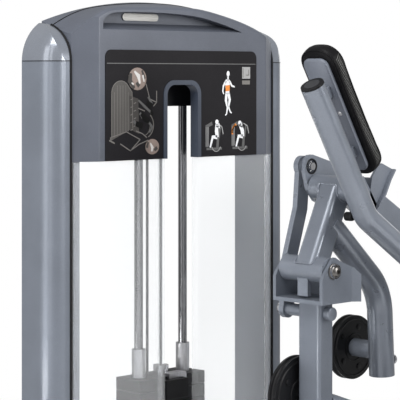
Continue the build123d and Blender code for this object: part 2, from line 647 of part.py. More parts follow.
def link():
    """The flat dog-leg link behind the linkage, with the pin that it carries at its top."""
    path = [LINK_TOP, (60, 120), (24, 10), LINK_FOOT]
    y = (YOKE_REAR + 10, YOKE_REAR + 23)
    shape = rod_y(PIVOT_X + path[0][0], PIVOT_Z + path[0][1], 22, *y)
    for (ax, az), (bx, bz) in zip(path, path[1:]):
        length = math.hypot(bx - ax, bz - az)
        lean = math.degrees(math.atan2(ax - bx, az - bz))
        centre = ((ax + bx) / 2, (az + bz) / 2)
        shape += along_lean(centre, length, 34, y[1] - y[0], lean, sum(y) / 2)
        shape += rod_y(PIVOT_X + bx, PIVOT_Z + bz, 17, *y)
    shape += rod_y(PIVOT_X + path[-1][0], PIVOT_Z + path[-1][1], 19, *y)
    shape -= rod_y(PIVOT_X + path[-1][0], PIVOT_Z + path[-1][1], 13 + PLAY, 100, 150)
    save("link_bar", shape)
    save("link_pin", rod_y(PIVOT_X + path[0][0], PIVOT_Z + path[0][1], 8, 98, y[0]))


# ---------------------------------------------------------------- arms

def coupler():
    """The plates, axle and beam that carry both arms on the crank's upper pivot."""
    upper = (PIVOT_X + UPPER_PIVOT[0], PIVOT_Z + UPPER_PIVOT[1])
    rear_plate = plate_xz(
        [
            (46, 200), (50, 226), (60, 235), (72, 236), (150, 214),
            (190, 150), (170, 96), (80, 136), (58, 160),
        ],
        102, 112,
    )
    rear_plate -= rod_y(PIVOT_X + LINK_TOP[0], PIVOT_Z + LINK_TOP[1], 14, 90, 130)
    front_plate = plate_xz(
        [(58, 118), (52, 150), (62, 190), (88, 194), (100, 178), (132, 132), (120, 100), (80, 98)], -26, -13
    )
    boss = rod_y(PIVOT_X + 76, PIVOT_Z + 112, 14, SEAT_Y + ARM_OFFSET, -26)
    front_plate += boss - swept(arm_path(SEAT_Y + ARM_OFFSET), ARM_RADIUS, ARM_BEND)
    plates = [
        rear_plate - rod_y(*upper, AXLE_RADIUS, 90, 130),
        front_plate - rod_y(*upper, AXLE_RADIUS, -30, -10),
        formed_bracket(),
    ]
    save("coupler_plates", group(*plates))
    save("upper_axle", rod_y(*upper, AXLE_RADIUS, -26, 112))
    reach = 400
    start = 36
    slope = math.radians(-30)
    centre = (
        UPPER_PIVOT[0] + math.cos(slope) * (start + reach / 2) + 5,
        UPPER_PIVOT[1] + math.sin(slope) * (start + reach / 2) + 8.6,
    )
    beam = along_lean(centre, reach, 62, 50, 120, 26)
    beam = fillet(beam.edges().filter_by(lambda e: e.length > reach - 1), BEAM_ROUND)
    beam -= along_lean(centre, reach - 8, 54, 42, 120, 26)
    cross_x, _, cross_z = at_pivot(CROSS_TUBE[0], 0, CROSS_TUBE[1])
    save("coupler_beam", beam - rod_y(cross_x, cross_z, 30, -50, 150))


def formed_bracket():
    """A folded sheet bracket on the coupler beam's front face."""
    web = plate_xz(
        [
            (121, 122), (112, 142), (110, 164), (116, 190), (132, 210),
            (149, 219), (182, 206), (166, 186), (149, 156),
        ],
        -26, -20,
    )
    back_flange = plate_xz([(108, 142), (110, 164), (116, 190), (122, 188), (116, 164), (114, 142)], -26, 1)
    lip = plate_xz(
        [(121, 122), (149, 156), (166, 186), (182, 206), (186, 204), (170, 183), (153, 153), (124, 119)],
        -35, -20,
    )
    return web + back_flange + lip


def arm_path(y):
    """Centre line of an arm: its square-cut top, its two bends and its rear end."""
    points = [(-127, 385), (40, 113), (230, -9), CROSS_TUBE]
    return [at_pivot(across, y, up) for across, up in points]


def arms():
    y_far = SEAT_Y + ARM_OFFSET
    y_near = SEAT_Y - ARM_OFFSET
    cross_x, _, cross_z = at_pivot(CROSS_TUBE[0], 0, CROSS_TUBE[1])
    cross_ends = (y_near - ARM_RADIUS - 5, 101)
    cross = rod_y(cross_x, cross_z, 30, *cross_ends)
    save("arm_cross_tube", cross - rod_y(cross_x, cross_z, 27, *cross_ends))
    plugs, plates, grips = [], [], []
    for name, side, y in (("far", 1, y_far), ("near", -1, y_near)):
        path = arm_path(y)
        save(f"arm_{name}", largest(tube(path, ARM_RADIUS, 3, ARM_BEND) - cross))
        out = Vector(*path[0]) - Vector(*path[1])
        plugs.append(Plane(path[0], z_dir=out) * Pos(0, 0, 2) * Cylinder(ARM_RADIUS - 0.5, 4))
        plate, cushion = pad(SEAT_Y + side * PAD_OFFSET)
        plates.append(plate + (pad_studs(y + side * 28) - swept(path, ARM_RADIUS, ARM_BEND)))
        save(f"arm_pad_{name}", cushion)
        grips.append(grip(y, path))
    save("arm_plugs", group(*plugs))
    save("arm_pad_plates", group(*plates))
    save("grip_tubes", group(*grips))


def pad(y):
    """A narrow upper-arm pad: its moulded back plate and a plain cushion."""
    plate_at = PAD_CENTRE - PAD_FACING * 27
    cushion_at = PAD_CENTRE - PAD_FACING * 5
    plate = along_lean((plate_at.X, plate_at.Z), 268, 8, 62, -PAD_LEAN, y)
    return plate, along_lean((cushion_at.X, cushion_at.Z), 309, 36, 88, -PAD_LEAN, y)


def pad_studs(y):
    """Two brackets between an arm's inner side and its pad's back plate."""
    studs = []
    for along in (-60, 85):
        at = PAD_CENTRE - PAD_FACING * 58 + Vector(PAD_FACING.Z, 0, -PAD_FACING.X) * along
        studs.append(along_lean((at.X, at.Z), 26, 54, 24, -PAD_LEAN, y))
    return studs[0] + studs[1]


def grip(y, path):
    """A hand grip rising behind the shoulder from the arm's lower run."""
    post = swept([at_pivot(400, y, -47), at_pivot(440, y, 60), at_pivot(420, y, 250)], 14, 60)
    return largest(post - swept(path[2:], ARM_RADIUS, 60))


floor_frame()
tower()
weight_stack()
station_frame()
rear_support()
seat()
foot_support()
crank()
link()
coupler()
arms()
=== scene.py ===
import json
import math

import bmesh
import bpy
from mathutils import Matrix, Vector
from mathutils.bvhtree import BVHTree


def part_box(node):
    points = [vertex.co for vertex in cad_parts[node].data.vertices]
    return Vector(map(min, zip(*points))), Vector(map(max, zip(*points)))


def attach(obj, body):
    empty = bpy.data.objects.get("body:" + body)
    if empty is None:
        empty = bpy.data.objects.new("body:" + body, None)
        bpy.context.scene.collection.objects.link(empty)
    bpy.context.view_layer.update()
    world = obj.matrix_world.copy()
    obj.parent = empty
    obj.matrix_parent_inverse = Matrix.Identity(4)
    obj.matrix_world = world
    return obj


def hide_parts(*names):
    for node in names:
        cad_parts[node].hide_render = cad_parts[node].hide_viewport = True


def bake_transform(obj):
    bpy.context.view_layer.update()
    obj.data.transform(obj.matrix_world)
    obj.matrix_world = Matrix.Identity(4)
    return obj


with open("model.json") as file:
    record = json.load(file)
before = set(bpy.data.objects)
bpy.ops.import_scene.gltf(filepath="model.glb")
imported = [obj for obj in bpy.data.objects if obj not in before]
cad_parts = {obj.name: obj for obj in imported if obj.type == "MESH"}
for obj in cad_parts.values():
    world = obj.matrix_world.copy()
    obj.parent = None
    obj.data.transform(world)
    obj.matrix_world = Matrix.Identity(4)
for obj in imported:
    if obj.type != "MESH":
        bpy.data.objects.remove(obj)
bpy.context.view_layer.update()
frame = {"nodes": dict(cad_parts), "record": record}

MACHINE = "machine"


# ---------------------------------------------------------------- materials

def shader_nodes(name):
    """A new material, with its node list, its links and its main shader."""
    material = bpy.data.materials.new(name)
    material.use_nodes = True
    tree = material.node_tree
    return material, tree.nodes, tree.links, tree.nodes["Principled BSDF"]


def noise_node(nodes, links, scale, detail=3.0, rough=0.55):
    """Noise in object space, so that it stays on the piece."""
    place = nodes.new("ShaderNodeTexCoord")
    texture = nodes.new("ShaderNodeTexNoise")
    texture.inputs["Scale"].default_value = scale
    texture.inputs["Detail"].default_value = detail
    texture.inputs["Roughness"].default_value = rough
    links.new(place.outputs["Object"], texture.inputs["Vector"])
    return texture


def ramp(nodes, links, source, low, high, start=0.35, end=0.65):
    """Turns a 0 to 1 value into a colour between low and high."""
    node = nodes.new("ShaderNodeValToRGB")
    node.color_ramp.elements[0].position = start
    node.color_ramp.elements[1].position = end
    node.color_ramp.elements[0].color = (*low, 1.0)
    node.color_ramp.elements[1].color = (*high, 1.0)
    links.new(source, node.inputs["Fac"])
    return node.outputs["Color"]


def tint(colour, factor):
    """A lighter or darker colour, none of its channels over 1."""
    return tuple(min(1.0, channel * factor) for channel in colour)


def add_bump(nodes, links, shader, height, strength, distance=0.001, under=None):
    """Surface relief on the shader, over another bump where there is one."""
    bump = nodes.new("ShaderNodeBump")
    bump.inputs["Strength"].default_value = strength
    bump.inputs["Distance"].default_value = distance
    links.new(height, bump.inputs["Height"])
    if under is not None:
        links.new(under, bump.inputs["Normal"])
    links.new(bump.outputs["Normal"], shader.inputs["Normal"])


def vary_roughness(nodes, links, shader, scale, low, high):
    """Gloss that wanders between two roughnesses."""
    blotch = noise_node(nodes, links, scale, 4.0)
    spread = nodes.new("ShaderNodeMapRange")
    spread.inputs["From Min"].default_value = 0.3
    spread.inputs["From Max"].default_value = 0.7
    spread.inputs["To Min"].default_value = low
    spread.inputs["To Max"].default_value = high
    links.new(blotch.outputs["Fac"], spread.inputs["Value"])
    links.new(spread.outputs["Result"], shader.inputs["Roughness"])


def coated(
    name, colour, metallic=0.0, rough=0.45, grain=900.0, bump=0.12, spread=0.06, coat=0.0, shine=0.5,
):
    """Paint or moulded plastic: a slow tone drift, a fine fleck and a fine surface texture."""
    material, nodes, links, shader = shader_nodes(name)
    drift = noise_node(nodes, links, 9.0, 3.0)
    slow = ramp(nodes, links, drift.outputs["Fac"], tint(colour, 1 - spread), tint(colour, 1 + spread))
    fleck = noise_node(nodes, links, grain, 2.0)
    fast = ramp(nodes, links, fleck.outputs["Fac"], (0.88, 0.88, 0.88), (1.1, 1.1, 1.1), 0.3, 0.7)
    mix = nodes.new("ShaderNodeMix")
    mix.data_type = "RGBA"
    mix.blend_type = "MULTIPLY"
    mix.inputs["Factor"].default_value = 1.0
    links.new(slow, mix.inputs["A"])
    links.new(fast, mix.inputs["B"])
    links.new(mix.outputs["Result"], shader.inputs["Base Color"])
    shader.inputs["Metallic"].default_value = metallic
    shader.inputs["Coat Weight"].default_value = coat
    shader.inputs["Coat Roughness"].default_value = 0.12
    shader.inputs["Specular IOR Level"].default_value = shine
    vary_roughness(nodes, links, shader, 24.0, rough - 0.04, rough + 0.06)
    add_bump(nodes, links, shader, fleck.outputs["Fac"], bump, 0.0006)
    return material


def worn_metal(name, colour, rough, streak=60.0, axis_scale=(1.0, 1.0, 0.04)):
    """Bare or plated metal with fine drawn lines and faint handling marks."""
    material, nodes, links, shader = shader_nodes(name)
    place = nodes.new("ShaderNodeTexCoord")
    stretch = nodes.new("ShaderNodeMapping")
    stretch.inputs["Scale"].default_value = axis_scale
    lines = nodes.new("ShaderNodeTexNoise")
    lines.inputs["Scale"].default_value = streak * 20
    lines.inputs["Detail"].default_value = 2.0
    links.new(place.outputs["Object"], stretch.inputs["Vector"])
    links.new(stretch.outputs["Vector"], lines.inputs["Vector"])
    tone = ramp(nodes, links, lines.outputs["Fac"], tint(colour, 0.86), tint(colour, 1.1))
    links.new(tone, shader.inputs["Base Color"])
    shader.inputs["Metallic"].default_value = 1.0
    vary_roughness(nodes, links, shader, 18.0, rough, rough + 0.12)
    add_bump(nodes, links, shader, lines.outputs["Fac"], 0.06, 0.0004)
    return material


def soft_skin(name, colour):
    """Upholstery vinyl: a cell grain with fine creases over a slow tone drift."""
    material, nodes, links, shader = shader_nodes(name)
    place = nodes.new("ShaderNodeTexCoord")
    cells = nodes.new("ShaderNodeTexVoronoi")
    cells.feature = "DISTANCE_TO_EDGE"
    cells.inputs["Scale"].default_value = 520.0
    links.new(place.outputs["Object"], cells.inputs["Vector"])
    drift = noise_node(nodes, links, 14.0, 4.0)
    tone = ramp(nodes, links, drift.outputs["Fac"], tint(colour, 0.8), tint(colour, 1.35))
    links.new(tone, shader.inputs["Base Color"])
    shader.inputs["Specular IOR Level"].default_value = 0.16
    vary_roughness(nodes, links, shader, 30.0, 0.44, 0.58)
    crease = noise_node(nodes, links, 42.0, 5.0, 0.6)
    first = nodes.new("ShaderNodeBump")
    first.inputs["Strength"].default_value = 0.22
    first.inputs["Distance"].default_value = 0.003
    links.new(crease.outputs["Fac"], first.inputs["Height"])
    add_bump(nodes, links, shader, cells.outputs["Distance"], 0.35, 0.0009, first.outputs["Normal"])
    return material


def foam_skin(name, colour):
    """Closed-cell foam: matt, with small open pits."""
    material, nodes, links, shader = shader_nodes(name)
    pits = noise_node(nodes, links, 420.0, 5.0, 0.7)
    tone = ramp(nodes, links, pits.outputs["Fac"], tint(colour, 0.6), tint(colour, 1.5))
    links.new(tone, shader.inputs["Base Color"])
    shader.inputs["Roughness"].default_value = 0.82
    shader.inputs["Specular IOR Level"].default_value = 0.2
    add_bump(nodes, links, shader, pits.outputs["Fac"], 0.5, 0.0012)
    return material


def frosted(name, colour):
    """Translucent guard sheet: a milky body with a fine frost on it."""
    material, nodes, links, shader = shader_nodes(name)
    shader.inputs["Base Color"].default_value = (*colour, 1.0)
    shader.inputs["Transmission Weight"].default_value = 0.87
    shader.inputs["IOR"].default_value = 1.08
    frost = noise_node(nodes, links, 700.0, 3.0)
    vary_roughness(nodes, links, shader, 8.0, 0.05, 0.08)
    add_bump(nodes, links, shader, frost.outputs["Fac"], 0.03, 0.0003)
    return material


INK = dict(rough=0.4, bump=0.02)
COATINGS = {
    "frame_paint": dict(colour=(0.190, 0.211, 0.250), metallic=0.35, rough=0.34, coat=0.25),
    "arm_paint": dict(colour=(0.225, 0.248, 0.292), metallic=0.35, rough=0.30, bump=0.10, coat=0.5),
    "cap_gloss": dict(
        colour=(0.24, 0.26, 0.30), metallic=0.4, rough=0.22, grain=700.0, bump=0.03, spread=0.04,
        coat=0.7,
    ),
    "hood_plastic": dict(
        colour=(0.098, 0.108, 0.134), metallic=0.1, rough=0.42, grain=1100.0, bump=0.16,
    ),
    "rim_plastic": dict(colour=(0.045, 0.056, 0.080), rough=0.36, grain=1100.0),
    "black_paint": dict(colour=(0.006, 0.006, 0.008), rough=0.5, spread=0.1, shine=0.2),
    "placard_print": dict(
        colour=(0.011, 0.010, 0.012), rough=0.5, grain=500.0, bump=0.04, spread=0.1, shine=0.16,
    ),
    "stack_iron": dict(
        colour=(0.014, 0.014, 0.016), metallic=0.2, grain=650.0, bump=0.35, spread=0.15, shine=0.35,
    ),
    "cable_jacket": dict(
        colour=(0.008, 0.008, 0.009), rough=0.4, grain=1500.0, bump=0.2, spread=0.1, shine=0.3,
    ),
    "black_plastic": dict(
        colour=(0.006, 0.006, 0.007), rough=0.36, grain=1200.0, bump=0.2, spread=0.15, shine=0.25,
    ),
    "plug_centre": dict(
        colour=(0.030, 0.031, 0.034), rough=0.5, grain=1200.0, bump=0.2, spread=0.15, shine=0.3,
    ),
    "black_rubber": dict(
        colour=(0.006, 0.006, 0.007), rough=0.55, grain=800.0, bump=0.35, spread=0.2, shine=0.25,
    ),
    "pad_back": dict(colour=(0.150, 0.165, 0.200), metallic=0.05, rough=0.5, bump=0.25),
    "rib_cloth": dict(colour=(0.050, 0.050, 0.047), rough=0.34, grain=1500.0, bump=0.3, spread=0.3),
    "floor_paint": dict(colour=(0.78, 0.78, 0.78), rough=0.6, grain=60.0, bump=0.05, spread=0.02),
    "ink_grey": dict(colour=(0.14, 0.14, 0.14), spread=0.05, **INK),
    "ink_dim": dict(colour=(0.17, 0.16, 0.15), spread=0.1, **INK),
    "ink_shade": dict(colour=(0.075, 0.070, 0.065), spread=0.1, **INK),
    "ink_deep": dict(colour=(0.042, 0.038, 0.035), spread=0.1, **INK),
    "ink_black": dict(colour=(0.002, 0.002, 0.002), spread=0.05, shine=0.2, **INK),
    "ink_mid": dict(colour=(0.10, 0.10, 0.10), spread=0.1, **INK),
    "ink_warm": dict(colour=(0.24, 0.185, 0.16), grain=300.0, spread=0.3, **INK),
    "ink_light": dict(colour=(0.62, 0.60, 0.58), spread=0.1, **INK),
    "ink_white": dict(colour=(0.85, 0.86, 0.88), spread=0.05, **INK),
    "ink_orange": dict(colour=(0.80, 0.26, 0.035), spread=0.05, **INK),
    "ink_panel": dict(colour=(0.36, 0.36, 0.36), spread=0.08, **INK),
}
METALS = {
    "badge_metal": dict(
        colour=(0.36, 0.355, 0.34), rough=0.34, streak=40.0, axis_scale=(0.05, 1.0, 1.0),
    ),
    "bright_steel": dict(colour=(0.72, 0.72, 0.74), rough=0.10),
    "zinc_steel": dict(colour=(0.60, 0.60, 0.62), rough=0.30),
    "dark_steel": dict(colour=(0.20, 0.19, 0.18), rough=0.25),
    "seat_steel": dict(colour=(0.58, 0.58, 0.60), rough=0.24),
    "rod_steel": dict(colour=(0.26, 0.26, 0.27), rough=0.08),
}

MAT = {name: coated(name, **finish) for name, finish in COATINGS.items()}
for metal, finish in METALS.items():
    MAT[metal] = worn_metal(metal, **finish)
MAT["guard_clear"] = frosted("guard_clear", (0.90, 0.91, 0.92))
MAT["foam_roller"] = foam_skin("foam_roller", (0.010, 0.010, 0.011))
MAT["upholstery"] = soft_skin("upholstery", (0.0035, 0.0033, 0.0040))


def finish_node(node, material):
    """Gives a CAD node its one material."""
    node.data.materials.clear()
    node.data.materials.append(MAT[material])


for part in frame["record"]["subparts"]:
    finish_node(frame["nodes"][part["node"]], part["material_slot"])
finish_node(frame["nodes"]["guide_rods"], "rod_steel")


# ---------------------------------------------------------------- mesh helpers

def add_piece(name, shape, material, body=MACHINE, smooth_angle=40.0):
    """Turns a bmesh into a shown piece. It rides a body, or none where the body given is None."""
    bmesh.ops.recalc_face_normals(shape, faces=shape.faces)
    mesh = bpy.data.meshes.new(name)
    shape.to_mesh(mesh)
    shape.free()
    item = bpy.data.objects.new(name, mesh)
    bpy.context.scene.collection.objects.link(item)
    mesh.materials.append(MAT[material])
    mesh.polygons.foreach_set("use_smooth", [True] * len(mesh.polygons))
    mesh.set_sharp_from_angle(angle=math.radians(smooth_angle))
    if body is not None:
        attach(item, body)
    return item


def frame_of(axis):
    """A rotation that turns +Z to the axis."""
    return Vector(axis).normalized().to_track_quat("Z", "Y").to_matrix().to_4x4()


def skin(shape, rings, closed=False):
    """Joins rings of points into a tube, with end faces unless its ends meet."""
    pairs = list(zip(rings, rings[1:]))
    if closed:
        pairs.append((rings[-1], rings[0]))
    count = len(rings[0])
    for a, b in pairs:
        for i in range(count):
            j = (i + 1) % count
            shape.faces.new((a[i], a[j], b[j], b[i]))
    if not closed:
        shape.faces.new(list(reversed(rings[0])))
        shape.faces.new(rings[-1])


def lathe(shape, at, axis, profile, sides=40):
    """Adds a turned form. The profile lists (radius, height along the axis, hex or round)."""
    turn = Matrix.Translation(Vector(at)) @ frame_of(axis)
    rings = []
    for radius, height, hexagonal in profile:
        ring = []
        for i in range(sides):
            angle = 2 * math.pi * i / sides
            reach = radius
            if hexagonal:
                reach = radius * math.cos(math.pi / 6) / math.cos((angle % (math.pi / 3)) - math.pi / 6)
            spot = Vector((reach * math.cos(angle), reach * math.sin(angle), height))
            ring.append(shape.verts.new(turn @ spot))
        rings.append(ring)
    skin(shape, rings)


def sweep(shape, points, radius, closed=False, sides=10, ripple=0.0, pitch=1):
    """Adds a round cord along points. A ripple makes it a weld bead or a stitched cord."""
    points = [Vector(p) for p in points]
    count = len(points)
    rings = []
    side = None
    for i, point in enumerate(points):
        if closed:
            along = points[(i + 1) % count] - points[i - 1]
        else:
            along = points[min(i + 1, count - 1)] - points[max(i - 1, 0)]
        along.normalize()
        if side is None:
            side = along.orthogonal().normalized()
        side = (side - along * side.dot(along)).normalized()
        up = along.cross(side)
        reach = radius * (1 + ripple * (1 if (i // pitch) % 2 else -1))
        ring = []
        for k in range(sides):
            angle = 2 * math.pi * k / sides
            away = side * math.cos(angle) + up * math.sin(angle)
            ring.append(shape.verts.new(point + away * reach))
        rings.append(ring)
    skin(shape, rings, closed)


def circle_points(at, axis, radius, count=48):
    """Points round a circle that faces along the axis."""
    spin = Matrix.Translation(Vector(at)) @ frame_of(axis)
    points = []
    for i in range(count):
        angle = math.radians(360.0 * i / count)
        points.append(spin @ Vector((radius * math.cos(angle), radius * math.sin(angle), 0)))
    return points


def rounded_outline(half_w, half_h, corner, steps=8):
    """Corner-rounded rectangle in its own plane, counter-clockwise."""
    points = []
    for cx, cy, first in ((1, 1, 0), (-1, 1, 90), (-1, -1, 180), (1, -1, 270)):
        for i in range(steps + 1):
            angle = math.radians(first + 90 * i / steps)
            points.append((
                cx * (half_w - corner) + corner * math.cos(angle),
                cy * (half_h - corner) + corner * math.sin(angle),
            ))
    return points


def plate(shape, outline, turn, low, high, edge=0.001):
    """Adds a flat plate with a small rounded edge. turn places its plane."""
    levels = [(low, edge), (low + edge, 0.0), (high - edge, 0.0), (high, edge)]
    count = len(outline)
    centre = Vector((sum(p[0] for p in outline) / count, sum(p[1] for p in outline) / count))
    rings = []
    for height, inset in levels:
        ring = []
        for p in outline:
            away = Vector(p) - centre
            moved = centre + away * (1 - inset / max(away.length, 1e-6))
            ring.append(shape.verts.new(turn @ Vector((moved.x, moved.y, height))))
        rings.append(ring)
    skin(shape, rings)


def placed(at, x_axis, y_axis):
    """A matrix whose plane is spanned by the two axes, at a point."""
    x = Vector(x_axis).normalized()
    y = Vector(y_axis).normalized()
    z = x.cross(y)
    turn = Matrix((x, y, z)).transposed().to_4x4()
    turn.translation = Vector(at)
    return turn


# ---------------------------------------------------------------- places, in metres

PIVOT = Vector((-0.194, 0.0, 0.815))
UPPER = PIVOT + Vector((0.081, 0.0, 0.166))
LINK_TOP = PIVOT + Vector((0.068, 0.0, 0.211))
LINK_FOOT = PIVOT + Vector((0.017, 0.0, -0.092))
TOWER_X = -0.2935
SEAT_Y = -0.246
BEAM_TOP = 0.072
BACK = Vector((0, 1, 0))
FRONT = Vector((0, -1, 0))
STRAIGHT_UP = Vector((0, 0, 1))
CRANK_Y = 0.045
YOKE_UNDERSIDE = 0.7465
FLOOR_WELD_Z = BEAM_TOP + 0.001
POST_EDGES = (-0.201, -0.155, 0.015, 0.075)
SEAT_POST_EDGES = (0.001, 0.071, -0.281, -0.211)
ROLLER_POST_EDGES = (-0.509, -0.459, -0.271, -0.221)
REAR_UPRIGHT_FOOT = Vector((0.449, SEAT_Y, FLOOR_WELD_Z))
WELD_STEP = 0.003
TAIL_WHEEL = (0.051, 0.141, 0.615)
POST_WHEEL = (-0.182, 0.092, 0.545)
FOOT_ROLLERS = Vector((-0.484, SEAT_Y, 0.220))
ROLLER_OFFSET = 0.125
ARM_OFFSET = 0.174
ARM_TOP = Vector((-0.127, 0, 0.385))
ARM_BEND = Vector((0.040, 0, 0.113))


def at_y(point, y):
    """The same point, moved across the machine."""
    return Vector((point.x, y, point.z))


# ---------------------------------------------------------------- fasteners and welds

def button_head(shape, at, axis, radius):
    """A washer under a domed head with a hexagon socket."""
    r = radius
    lathe(shape, at, axis, [
        (r * 1.25, 0.0, False), (r * 1.25, r * 0.14, False), (r * 1.02, r * 0.16, False),
        (r, r * 0.3, False), (r * 0.86, r * 0.55, False), (r * 0.62, r * 0.68, False),
        (r * 0.42, r * 0.7, True), (r * 0.4, r * 0.32, True),
    ])


def hex_head(shape, at, axis, radius):
    """A washer under a six-sided head."""
    r = radius
    lathe(shape, at, axis, [
        (r * 1.3, 0.0, False), (r * 1.3, r * 0.16, False), (r * 1.04, r * 0.18, True),
        (r * 1.04, r * 0.7, True), (r * 0.9, r * 0.8, True), (r * 0.5, r * 0.82, False),
    ])


def cap_head(shape, at, axis, radius, height):
    """A plain turned cap with a softened rim."""
    lathe(shape, at, axis, [
        (radius, 0.0, False), (radius, height * 0.7, False), (radius * 0.94, height * 0.93, False),
        (radius * 0.85, height, False), (radius * 0.2, height, False),
    ])


def weld_bead(shape, points, radius):
    """A closed bead with the ripple of a hand weld."""
    sweep(shape, points, radius, closed=True, sides=8, ripple=0.16, pitch=2)


def weld_box(shape, x0, x1, y0, y1, z):
    """A weld around a rectangular tube where it stands on a plate or beam."""
    corners = [(x0, y0), (x1, y0), (x1, y1), (x0, y1)]
    points = []
    for (ax, ay), (bx, by) in zip(corners, corners[1:] + corners[:1]):
        steps = max(4, int(math.hypot(bx - ax, by - ay) / WELD_STEP))
        for i in range(steps):
            t = i / steps
            points.append((ax + (bx - ax) * t, ay + (by - ay) * t, z))
    weld_bead(shape, points, 0.0026)


def welds():
    """Beads where the posts stand on the floor beams and under the yoke."""
    beads = bmesh.new()
    weld_box(beads, *POST_EDGES, FLOOR_WELD_Z)
    weld_box(beads, *POST_EDGES, YOKE_UNDERSIDE)
    weld_box(beads, *SEAT_POST_EDGES, FLOOR_WELD_Z)
    weld_box(beads, *ROLLER_POST_EDGES, FLOOR_WELD_Z)
    weld_bead(beads, circle_points(REAR_UPRIGHT_FOOT, STRAIGHT_UP, 0.0335, 120), 0.0024)
    add_piece("frame_welds", beads, "frame_paint")


def crank_welds():
    """Beads where the crank's rectangular bar meets its two round tubes."""
    tube_radius = 0.0275
    half_wide = 0.0283
    half_deep = 0.0253
    squareness = 1.35
    count = 80
    beads = bmesh.new()
    lean = (UPPER - PIVOT).normalized()
    side = Vector((lean.z, 0, -lean.x))
    for pivot, facing in ((PIVOT, 1), (UPPER, -1)):
        points = []
        for i in range(count):
            angle = 2 * math.pi * i / count
            across = max(-1.0, min(1.0, squareness * math.cos(angle))) * half_wide
            depth = max(-1.0, min(1.0, squareness * math.sin(angle))) * half_deep
            rise = math.sqrt(tube_radius ** 2 - min(abs(across), tube_radius - 0.0001) ** 2)
            points.append(at_y(pivot, CRANK_Y + depth) + lean * rise * facing + side * across)
        weld_bead(beads, points, 0.0022)
    add_piece("crank_welds", beads, "arm_paint", "crank")


def machine_bolts():
    """Screws in the columns' rear faces and low on the two guards."""
    steel = bmesh.new()
    for x in (-0.6, 0.013):
        for z in (0.16, 0.62, 1.0):
            button_head(steel, (x, 0.4402, z), BACK, 0.006)
    for side in (-1, 1):
        button_head(steel, (TOWER_X + side * 0.236, 0.3148, 0.125), FRONT, 0.0052)
    add_piece("machine_bolts", steel, "bright_steel")


def seat_bolts():
    """Four screws up into the seat's base, which rise with the seat."""
    steel = bmesh.new()
    for x in (-0.04, 0.11):
        for y in (SEAT_Y - 0.07, SEAT_Y + 0.07):
            button_head(steel, (x, y, 0.4378), -STRAIGHT_UP, 0.007)
    add_piece("seat_bolts", steel, "bright_steel", "seat")


def linkage_fasteners():
    """The bolts, caps and rubbers on the yoke, the link and the coupler."""
    pivot = bmesh.new()
    cap_head(pivot, at_y(PIVOT, -0.0182), FRONT, 0.0165, 0.003)
    lathe(pivot, at_y(PIVOT, -0.0210), FRONT, [
        (0.0140, 0.0, False), (0.0140, 0.0035, False), (0.0122, 0.0068, False), (0.0085, 0.0092, False),
        (0.0052, 0.0099, True), (0.0048, 0.0062, True),
    ])
    add_piece("pivot_bolt", pivot, "dark_steel", MACHINE)
    foot = bmesh.new()
    hex_head(foot, at_y(LINK_FOOT, 0.1385), BACK, 0.012)
    add_piece("link_foot_bolt", foot, "bright_steel")
    axle = bmesh.new()
    cap_head(axle, at_y(LINK_FOOT, 0.0052), FRONT, 0.0143, 0.007)
    add_piece("link_axle_cap", axle, "frame_paint")
    coupler = bmesh.new()
    cap_head(coupler, at_y(LINK_TOP, 0.1035), FRONT, 0.0085, 0.003)
    hex_head(coupler, at_y(UPPER, 0.1125), BACK, 0.0105)
    add_piece("coupler_bolts", coupler, "zinc_steel", "arms")
    rubbers = bmesh.new()
    cap_head(rubbers, (-0.143, -0.010, 0.926), FRONT, 0.0095, 0.018)
    sweep(rubbers, circle_points(at_y(LINK_TOP, 0.1022), FRONT, 0.0155, 40), 0.0018, True, 8)
    add_piece("coupler_rubbers", rubbers, "black_rubber", "arms")


def arm_plug_centres():
    """The sunk middle of the plug in each arm's top end."""
    plugs = bmesh.new()
    axis = (ARM_TOP - ARM_BEND).normalized()
    for side in (1, -1):
        centre = at_y(PIVOT + ARM_TOP + axis * 0.0038, SEAT_Y + side * ARM_OFFSET)
        cap_head(plugs, centre, axis, 0.0165, 0.0012)
    add_piece("arm_plug_centres", plugs, "plug_centre", "arms")


def tail_bolt():
    """The domed bolt end on the crank's tail."""
    tail = bmesh.new()
    cap_head(tail, (0.0750, CRANK_Y, 0.595), (1, 0, 0), 0.0115, 0.007)
    add_piece("tail_bolt", tail, "zinc_steel", "crank")


# ---------------------------------------------------------------- pulleys and small parts

def pulley_face(name, at, radius, width, body):
    """Raised rim, web holes and hub bolt on both faces of a pulley."""
    dark = bmesh.new()
    bright = bmesh.new()
    for facing in (FRONT, BACK):
        face = Vector(at) + facing * (width / 2)
        sweep(dark, circle_points(face, facing, radius * 0.88, 64), radius * 0.028, True, 8)
        sweep(dark, circle_points(face, facing, radius * 0.42, 48), radius * 0.022, True, 8)
        for spot in circle_points(face, facing, radius * 0.65, 5):
            cap_head(dark, spot, facing, radius * 0.085, radius * 0.03)
        hex_head(bright, face + facing * 0.002, facing, radius * 0.1)
    add_piece(name + "_ribs", dark, "black_plastic", body)
    add_piece(name + "_bolt", bright, "zinc_steel", body)


def stack_cable(rings=40):
    """The cable over the stack: a straight cord from its top at the pulley down to its lower end,
    riding no body.
    """
    low, high = (Vector(corner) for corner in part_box("stack_cable"))
    foot = Vector(((low.x + high.x) / 2, (low.y + high.y) / 2, low.z))
    top = Vector((foot.x, foot.y, high.z))
    shape = bmesh.new()
    sweep(shape, [top.lerp(foot, i / rings) for i in range(rings + 1)], (high.x - low.x) / 2, False, 16)
    cable = add_piece("stack_cable_run", shape, "cable_jacket", None)
    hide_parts("stack_cable")
    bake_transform(cable)


